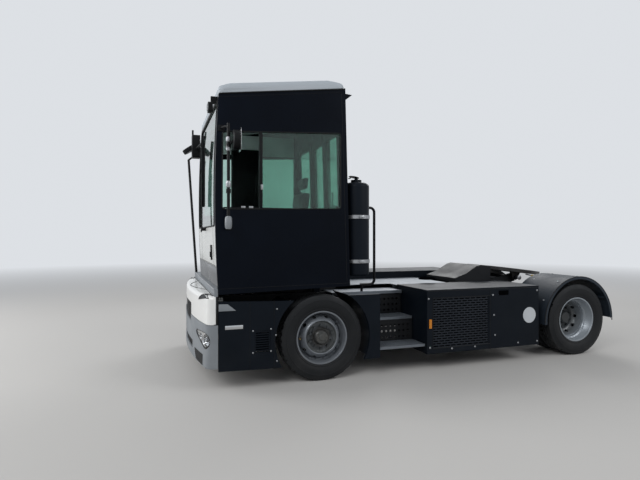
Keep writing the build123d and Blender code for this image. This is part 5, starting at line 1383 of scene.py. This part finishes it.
# %% Knob and clamps of the left mirror's tube
TUBE = (2.4795, 1.370)
CLAMPS = (
    # lower end, upper end, radius
    (2.085, 2.150, 0.026), (2.450, 2.500, 0.024), (2.540, 2.590, 0.024),
)
knob_profile = [(0, 0.0), (0.024, 0.002), (0.034, 0.020), (0.036, 0.065), (0.034, 0.112), (0.022, 0.130),
                (0, 0.132)]
knob = turned(knob_profile, Matrix.Translation((*TUBE, 1.668)), 32)
fit("mirror_knob", "frame", "grey_plastic", "grey_plastic", knob)
rings_made = []
for low, high, radius in CLAMPS:
    rings_made.append(rod((*TUBE, low), (*TUBE, high), radius, 24, 0.004))
    rings_made.append(bolt((TUBE[0], TUBE[1] + radius - 0.002, (low + high) / 2), (0, 1, 0), 0.007, 0.008))
fit("mirror_clamps", "frame", "galvanised", "zinc", *rings_made)

# %% Work lamp lens and wiper fittings
lamp_face = landing(["work_lamp"], (4, 1.10, 2.935), BACK)[0]
lamp_seat = facing(lamp_face, AHEAD_WAY)
lens = turned([(0, 0.006), (0.025, 0.005), (0.038, 0.001), (0.040, -0.002), (0, -0.002)], lamp_seat, 40)
rim = turned([(0.038, 0.0), (0.038, 0.006), (0.046, 0.005), (0.047, 0.0)], lamp_seat, 40)
fit("work_lamp_lens", "frame", "lamp", "lamp", lens)
fit("work_lamp_rim", "frame", "galvanised", "zinc", rim)
blade = [swept([(2.607, 0.290, 1.955), (2.6065, 0.290, 2.745)], 0.005),
         rod((2.640, 0.290, 1.662), (2.656, 0.290, 1.662), 0.016, 20, 0.003)]
fit("wiper_rubber", "frame", "black_plastic", "seal_rubber", *blade)

# %% [markdown]
# ## The driver's place
#
# Through the glass one sees the dash with its round gauges, a row of rocker switches, the steering wheel
# with its stalks and the seat. Each gauge is a plain dial in a bright rim, with a needle.

# %% Gauges, switches and stalks
DIAL_R = 0.028


def on_dash(y, z):
    """A place on the dashboard's face, its z axis pointing at the driver."""
    return facing(*landing(["dashboard"], (1.9, y, z), AHEAD_WAY))


dials, faces_made, switches = [], [], []
for y in (0.36, 0.44, 0.52):
    seat_of = on_dash(y, 1.60)
    dials.append(turned([(DIAL_R, 0.0), (DIAL_R, 0.006), (0.033, 0.006), (0.034, 0.0)], seat_of, 32))
    faces_made.append(turned([(0, 0.002), (DIAL_R, 0.002), (DIAL_R, -0.001), (0, -0.001)], seat_of, 32))
    needle = block((-0.001, 0.001), (0.0, 0.022), (0.002, 0.0035))
    needle.transform(seat_of)
    dials.append(needle)
for number in range(8):
    rocker = block((-0.018, 0.018), (-0.011, 0.011), (-0.001, 0.006), 0.002)
    rocker.transform(on_dash(-0.42 + number * 0.075, 1.62))
    switches.append(rocker)
fit("dash_dial_rims", "frame", "chrome", "chrome", *dials)
fit("dash_dials", "frame", "black_plastic", "seal_rubber", *faces_made)
fit("dash_switches", "frame", "grey_plastic", "grey_plastic", *switches)
WHEEL_AT = Vector((2.190, 0.440, 1.737))
COLUMN_WAY = Vector((math.sin(math.radians(-35)), 0, math.cos(math.radians(35))))
stalks = []
for side in (1, -1):
    root = WHEEL_AT - COLUMN_WAY * 0.075
    tip = root + Vector((0, side * 0.150, 0)) + COLUMN_WAY * 0.020
    stalks.append(rod(root + Vector((0, side * 0.03, 0)), tip, 0.006, 12, 0.002, 0.008))
fit("column_stalks", "frame", "black_plastic", "black_plastic", *stalks)

# %% [markdown]
# ## The door's fittings
#
# The rear door slides on two rails. Its lock, a round cylinder on a plate, rides with the door.

# %% Door lock
lock_at, lock_way = landing(["cab_door"], (0.5, 0.540, 1.98), AHEAD_WAY)
lock_profile = [(0, 0.010), (0.012, 0.010), (0.015, 0.007), (0.016, -0.002), (0, -0.002)]
lock = turned(lock_profile, facing(lock_at, lock_way), 24)
lock_plate = plate(round_box((-0.045, 0.045), (-0.022, 0.022), 0.008), 0.004,
                   facing(lock_at + Vector((0, 0, -0.03)), lock_way), 0.001)
fit("door_lock", "entry_door", "galvanised", "zinc", lock, lock_plate)

# %% [markdown]
# ## Inside of the cab
#
# Above the windows the walls and the roof are lined with pale trim, which shows bright through the open
# window. A dark block with a handle stands at the right wall before the seat, as painted shade for the dark
# view through the right window.

# %% Lining and the painted shade block
lining = [block((1.235, 2.500), (-0.6195, -0.6100), (2.748, 3.030), 0.003),
          block((1.235, 2.500), (1.1900, 1.1995), (2.748, 3.030), 0.003),
          block((1.240, 2.490), (-0.605, 1.185), (3.052, 3.068), 0.004, 2, ROOF_LEAN)]
fit("cab_lining", "frame", "grey_plastic", "lining", *lining)
# A dark block at the right wall: painted shade for the dark view through the right window.
dark_block_painted_shade = [block((1.775, 2.160), (-0.606, -0.520), (1.640, 2.815), 0.012, 3),
            block((1.800, 2.135), (-0.524, -0.512), (1.670, 2.790), 0.006),
            rod((1.830, -0.505, 2.180), (1.830, -0.505, 2.300), 0.006, 16, 0.002)]
fit("cab_painted_shade_block", "frame", "black_plastic", "black_plastic", *dark_block_painted_shade)

# %% [markdown]
# ## The driver's seat
#
# A sprung truck seat has three pads: the cushion, the backrest and the headrest. Foam under tight cloth
# crowns in the middle and pulls in at its seams. Each pad starts as a rounded block a little smaller than
# its space, is remeshed evenly, and is blown up by a short cloth simulation with its movement held to a few
# millimetres. Sewn channels are pressed in afterwards, and piping follows the seam round its side.

# %% A padded block
VOXEL = 0.0065
PUFF_FRAMES = 20
PUFF_PRESSURE = 4
PUFF_LIMIT = 0.010


def puffed(source):
    """The mesh blown up by cloth pressure, no point moved more than the limit."""
    holder = bpy.data.objects.new("pad", source)
    bpy.context.scene.collection.objects.link(holder)
    remesh = holder.modifiers.new("even", "REMESH")
    remesh.mode = "VOXEL"
    remesh.voxel_size = VOXEL
    bpy.context.view_layer.update()
    graph = bpy.context.evaluated_depsgraph_get()
    even = bpy.data.meshes.new_from_object(holder.evaluated_get(graph))
    holder.modifiers.clear()
    holder.data = even
    rest = [vert.co.copy() for vert in even.vertices]
    normals = [vert.normal.copy() for vert in even.vertices]
    moved = [at + way * PUFF_LIMIT * 0.5 for at, way in zip(rest, normals)]
    cloth = holder.modifiers.new("puff", "CLOTH")
    cloth.settings.use_pressure = True
    cloth.settings.uniform_pressure_force = PUFF_PRESSURE
    cloth.settings.effector_weights.gravity = 0
    for number in range(1, PUFF_FRAMES + 1):
        bpy.context.scene.frame_set(number)
    graph = bpy.context.evaluated_depsgraph_get()
    moved = [vert.co.copy() for vert in holder.evaluated_get(graph).data.vertices]
    holder.modifiers.clear()
    bpy.context.scene.frame_set(1)
    for vert, start, end in zip(even.vertices, rest, moved):
        shift = end - start
        if shift.length > PUFF_LIMIT:
            shift = shift.normalized() * PUFF_LIMIT
        vert.co = start + shift
    bpy.data.objects.remove(holder)
    return even


CROWN = 0.004
EDGE_ROOM = 0.01
CHANNEL_DEPTH = 0.0075
CHANNEL_HALF = 0.010
PIPING_POINTS = 72


def pad(size, channels, place):
    """A pad, made lying with its top up, with channels pressed in and piping round it, then placed."""
    half = [value / 2 - PUFF_LIMIT * 0.9 for value in size]
    wide, long = half[0] + EDGE_ROOM, half[1] + EDGE_ROOM
    bm = bmesh.new()
    bmesh.ops.create_cube(bm, size=2, matrix=Matrix.Diagonal((*half, 1)))
    bmesh.ops.bevel(bm, geom=bm.edges[:], offset=min(half) * 0.55, offset_type="OFFSET", segments=4,
                    profile=0.5, affect="EDGES", material=-1)
    mesh = puffed(as_mesh(bm))
    for vert in mesh.vertices:
        if vert.normal.z > 0.2:
            crown_share = (1 - (vert.co.x / wide) ** 2) * (1 - (vert.co.y / long) ** 2)
            vert.co.z += CROWN * max(0.0, crown_share)
            for axis, at in channels:
                away = abs(vert.co[axis] - at)
                vert.co.z -= CHANNEL_DEPTH * math.exp(-(away / CHANNEL_HALF) ** 2)
    skin_tree = tree_of(mesh)
    piping = []
    for number in range(PIPING_POINTS):
        turn = 2 * math.pi * number / PIPING_POINTS
        way = Vector((math.cos(turn), math.sin(turn), 0))
        scale = 1 / max(abs(way.x) / wide, abs(way.y) / long)
        piping.append(skin_tree.ray_cast(way * scale * 1.6 + Vector((0, 0, half[2] * 0.35)), -way)[0])
    piping_mesh = swept(piping, 0.0035, closed=True, smooth=True)
    for made in (mesh, piping_mesh):
        made.transform(place)
    return mesh, piping_mesh


# %% Cushion, backrest and headrest
SEAT_Y = 0.440
LEAN = math.radians(8.3)
UPRIGHT = Matrix.Rotation(math.pi / 2 - LEAN, 4, "Y")
cushion_place = Matrix.Translation((1.742, SEAT_Y, 1.4655))
back_place = Matrix.Translation((1.483, SEAT_Y, 1.842)) @ UPRIGHT
head_place = Matrix.Translation((1.416, SEAT_Y, 2.250)) @ UPRIGHT
PADS = (
    # name, size, channels as axis and place, position
    ("seat_cushion", (0.470, 0.484, 0.128), ((1, -0.150), (1, 0.150), (0, -0.060)), cushion_place),
    ("seat_backrest", (0.600, 0.464, 0.084), ((1, -0.145), (1, 0.145), (0, -0.120), (0, 0.080)), back_place),
    ("seat_headrest", (0.154, 0.254, 0.078), ((1, -0.085), (1, 0.085)), head_place),
)
for name, size, channels, place in PADS:
    soft, piping = pad(size, channels, place)
    piece = fit(name, "frame", "upholstery", "upholstery", soft)
    piece.data.shade_smooth()
    fit(f"{name}_piping", "frame", "upholstery", "seal_rubber", piping)
    if name == "seat_cushion":
        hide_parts("seat_cushions")
posts = [rod((1.419, SEAT_Y + side * 0.063, 2.140), (1.416, SEAT_Y + side * 0.063, 2.190), 0.006, 16)
         for side in (1, -1)]
shell = plate(round_box((-0.29, 0.27), (-0.215, 0.215), 0.05), 0.010,
              back_place @ Matrix.Translation((0, 0, -0.050)), 0.003)
fit("headrest_posts", "frame", "chrome", "chrome", *posts)
fit("seat_back_shell", "frame", "black_plastic", "black_plastic", shell)

# %% [markdown]
# ## The seat's suspension
#
# Under the cushion a rubber bellows hides the sprung base. Its folds are a stack of soft ribs, with a slide
# rail at each side and a lever in front.

# %% Bellows, rails and lever
FOLD_X, FOLD_Y = (1.554, 1.866), (0.274, 0.606)
folds = []
for number in range(6):
    z = 1.150 + number * 0.036
    folds.append(block(FOLD_X, FOLD_Y, (z, z + 0.024), 0.011, 3))
fit("seat_bellows", "frame", "black_plastic", "dark_rubber", *folds)
rails = [block((1.520, 1.960), (y - 0.014, y + 0.014), (1.382, 1.400), 0.003) for y in (0.300, 0.580)]
rails.append(rod((1.950, 0.520, 1.392), (2.010, 0.520, 1.378), 0.008, 14, 0.002))
fit("seat_rails", "frame", "galvanised", "zinc", *rails)

# %% [markdown]
# ## The steps
#
# The lower treads are folded galvanised sheet: the top is dimpled with raised holes and the front edge is
# toothed, so that a wet boot holds. Buttons and teeth are set out in rows by loops.

# %% Tread grip
TREADS = (
    # left and right end, inner and outer edge, top
    (0.165, 0.712, 0.650, 0.900, 0.605),
    (0.165, 0.712, 0.945, 1.205, 0.320),
)
BUTTON_COLUMNS, BUTTON_ROWS = 17, 6
BUTTON = ((0.0035, -0.001), (0.0035, 0.0030), (0.0060, 0.0026), (0.0090, -0.001))
TEETH = 37
TEETH_PAST = 0.018
grip = []
for x0, x1, y0, y1, top in TREADS:
    for column in range(BUTTON_COLUMNS):
        for row in range(BUTTON_ROWS):
            x = x0 + (column + 0.5 * (row % 2)) * (x1 - x0) / BUTTON_COLUMNS
            y = y0 + row * (y1 - y0) / (BUTTON_ROWS - 1)
            grip.append(turned(BUTTON, Matrix.Translation((x, y, top)), 8))
    edge_bm = bmesh.new()
    for tooth in range(TEETH):
        x = x0 - TEETH_PAST + tooth * (x1 - x0 + 2 * TEETH_PAST) / (TEETH - 1)
        bar(edge_bm, (x - 0.0042, x + 0.0042), (y1 + 0.006, y1 + 0.0142), (top - 0.002, top + 0.0032))
    grip.append(as_mesh(edge_bm))
fit("tread_grip", "frame", "galvanised", "galvanised", *grip)

# %% [markdown]
# ## Canister, fenders and lamps
#
# The tall canister behind the cab is held by two bright straps with a bolt each, and a tilted rain flap
# covers its stub. The fenders end in a rubber lip. Each tail lamp has amber, red and clear fields in a dark
# frame, and the side marker stands on a dark base.

# %% Straps and rain flap
CANISTER = (0.957, 1.050)
STRAP = ((0.1535, -0.020), (0.1580, -0.020), (0.1580, 0.020), (0.1535, 0.020))
straps = []
for z in (1.311, 1.818):
    straps.append(turned(STRAP, Matrix.Translation((*CANISTER, z)), 64))
    straps.append(block((0.935, 0.985), (1.200, 1.220), (z - 0.014, z + 0.014), 0.003))
    straps.append(rod((0.925, 1.212, z), (0.995, 1.212, z), 0.006, 14, 0.001))
fit("canister_straps", "frame", "galvanised", "zinc", *straps)
flap_turn = Matrix.Translation((0.985, 1.05, 2.283)) @ Matrix.Rotation(math.radians(-10), 4, "Y")
flap = turned([(0, 0.004), (0.058, 0.003), (0.063, -0.001), (0.060, -0.004), (0, -0.002)], flap_turn, 32)
hinge = rod((1.040, 1.020, 2.268), (1.040, 1.080, 2.268), 0.006, 14, 0.001)
fit("canister_rain_flap", "frame", "black_plastic", "black_plastic", flap, hinge)

# %% Fender lips and screws
FENDER_R = 0.5800
LIP_POINTS = 49


def from_rear_axle(degrees, y, distance):
    """A point at an angle and a distance from the rear axle, and the way out to it."""
    way = Vector((math.cos(math.radians(degrees)), 0, math.sin(math.radians(degrees))))
    return Vector((REAR_AXLE_X, y, AXLE_Z)) + way * distance, way


lips, fixings = [], []
for side in (1, -1):
    arc = [-1 + 184 * step / (LIP_POINTS - 1) for step in range(LIP_POINTS)]
    lips.append(swept([from_rear_axle(turn, side * 1.2475, FENDER_R)[0] for turn in arc], 0.0055))
    for turn in (28, 62, 96, 130, 164):
        for y in (0.72, 1.15):
            start, way = from_rear_axle(turn, side * y, 1.2)
            place, normal = landing(["rear_fenders"], start, -way)
            fixings.append(screw(place, normal, 0.012, 0.006))
fit("fender_lips", "frame", "black_plastic", "dark_rubber", *lips)
fit("fender_screws", "frame", "galvanised", "zinc", *fixings)

# %% Tail lamp fields
LAMP_Y, LAMP_Z = (0.380, 0.554), (0.640, 0.730)
FIELDS = (
    # finish, first and last share of the lamp's width, from its outer end
    ("amber", 0.0, 0.28), ("red_lamp", 0.28, 0.74), ("lamp", 0.74, 1.0),
)
FIELD_GAP = 0.003
lamp_wide = LAMP_Y[1] - LAMP_Y[0]
for name, first, last in FIELDS:
    fields = []
    for side in (1, -1):
        near = LAMP_Y[1] - lamp_wide * last + FIELD_GAP
        far = LAMP_Y[1] - lamp_wide * first - FIELD_GAP
        fields.append(block((-2.7600, -2.7510), ordered(side * near, side * far),
                            (LAMP_Z[0] + 0.006, LAMP_Z[1] - 0.006), 0.003))
    fit(f"tail_{name}_fields", "frame", name, name, *fields)
frame_line = round_box(LAMP_Y, LAMP_Z, 0.010)
frames = [swept([(-2.7515, side * y, z) for y, z in frame_line], 0.0045, closed=True) for side in (1, -1)]
fit("tail_lamp_frames", "frame", "black_plastic", "black_plastic", *frames)
marker_base = block((0.070, 0.112), (1.248, 1.256), (0.501, 0.616), 0.003)
fit("side_marker_base", "frame", "black_plastic", "black_plastic", marker_base)

# %% [markdown]
# ## Frame, boom and coupling
#
# Bolts join cross members to the rails, so pairs of them run along each rail. The coupling plate has curved
# grease grooves on its sliding face, a release lever with a yellow grip, and bright caps on its pivots.

# %% Rail bolts
MEMBERS_X = (-1.25, -0.85, -0.45, -0.05, 0.35, 0.75, 1.15, 1.55, 1.95, 2.35)
RAIL_FACE = 0.36
rail_bolts = []
for side in (1, -1):
    for x in MEMBERS_X:
        for z in (0.700, 0.790):
            for shift in (-0.035, 0.035):
                place = landing(["chassis_frame"], (x + shift, side * 0.60, z), (0, -side, 0))[0]
                if abs(place.y) > RAIL_FACE:
                    rail_bolts.append(bolt(place, (0, side, 0), 0.011, 0.012))
fit("rail_bolts", "frame", "galvanised", "zinc", *rail_bolts)

# %% Coupling plate fittings
PIVOT = Vector((-1.927, 0.0, 0.985))
TIP = Matrix.Translation(PIVOT) @ Matrix.Rotation(math.radians(-7), 4, "Y")
FROM_ABOVE = 0.3


def on_plate(x, y):
    """A point on the tipped coupling plate's sliding face."""
    above = TIP @ Vector((x, y, FROM_ABOVE))
    return landing(["fifth_wheel_plate"], above, TIP.to_3x3() @ Vector((0, 0, -1)))[0]


GROOVE_LENGTH = 0.42
GROOVE_POINTS = 15
grooves = []
for side in (1, -1):
    for start_x, start_y, bend in ((0.300, 0.140, 0.10), (0.180, 0.150, 0.16)):
        line = []
        for step in range(GROOVE_POINTS):
            share = step / (GROOVE_POINTS - 1)
            x = start_x - GROOVE_LENGTH * share
            y = start_y + bend * math.sin(math.pi * share) + 0.06 * share
            line.append(on_plate(x, side * y))
        grooves.append(swept(line, 0.0035))
fit("grease_grooves", "coupling_plate", "cast", "seal_rubber", *grooves)
lever_root = TIP @ Vector((-0.150, 0.400, 0.062))
lever_end = TIP @ Vector((-0.150, 0.520, 0.050))
grip_end = TIP @ Vector((-0.160, 0.620, 0.048))
fit("release_lever", "coupling_plate", "galvanised", "zinc",
    rod(lever_root, lever_end, 0.009, 16, 0.002))
fit("release_grip", "coupling_plate", "grey_plastic", "safety_yellow",
    rod(lever_end, grip_end, 0.014, 20, 0.004))
caps = [rod(TIP @ Vector((0, side * 0.435, 0)), TIP @ Vector((0, side * 0.449, 0)), 0.034, 28, 0.004)
        for side in (1, -1)]
fit("pivot_caps", "coupling_plate", "galvanised", "zinc", *caps)

# %% The boxes and the end
print("pieces:", len(made_pieces), "faces:", sum(len(p.data.polygons) for p in made_pieces))
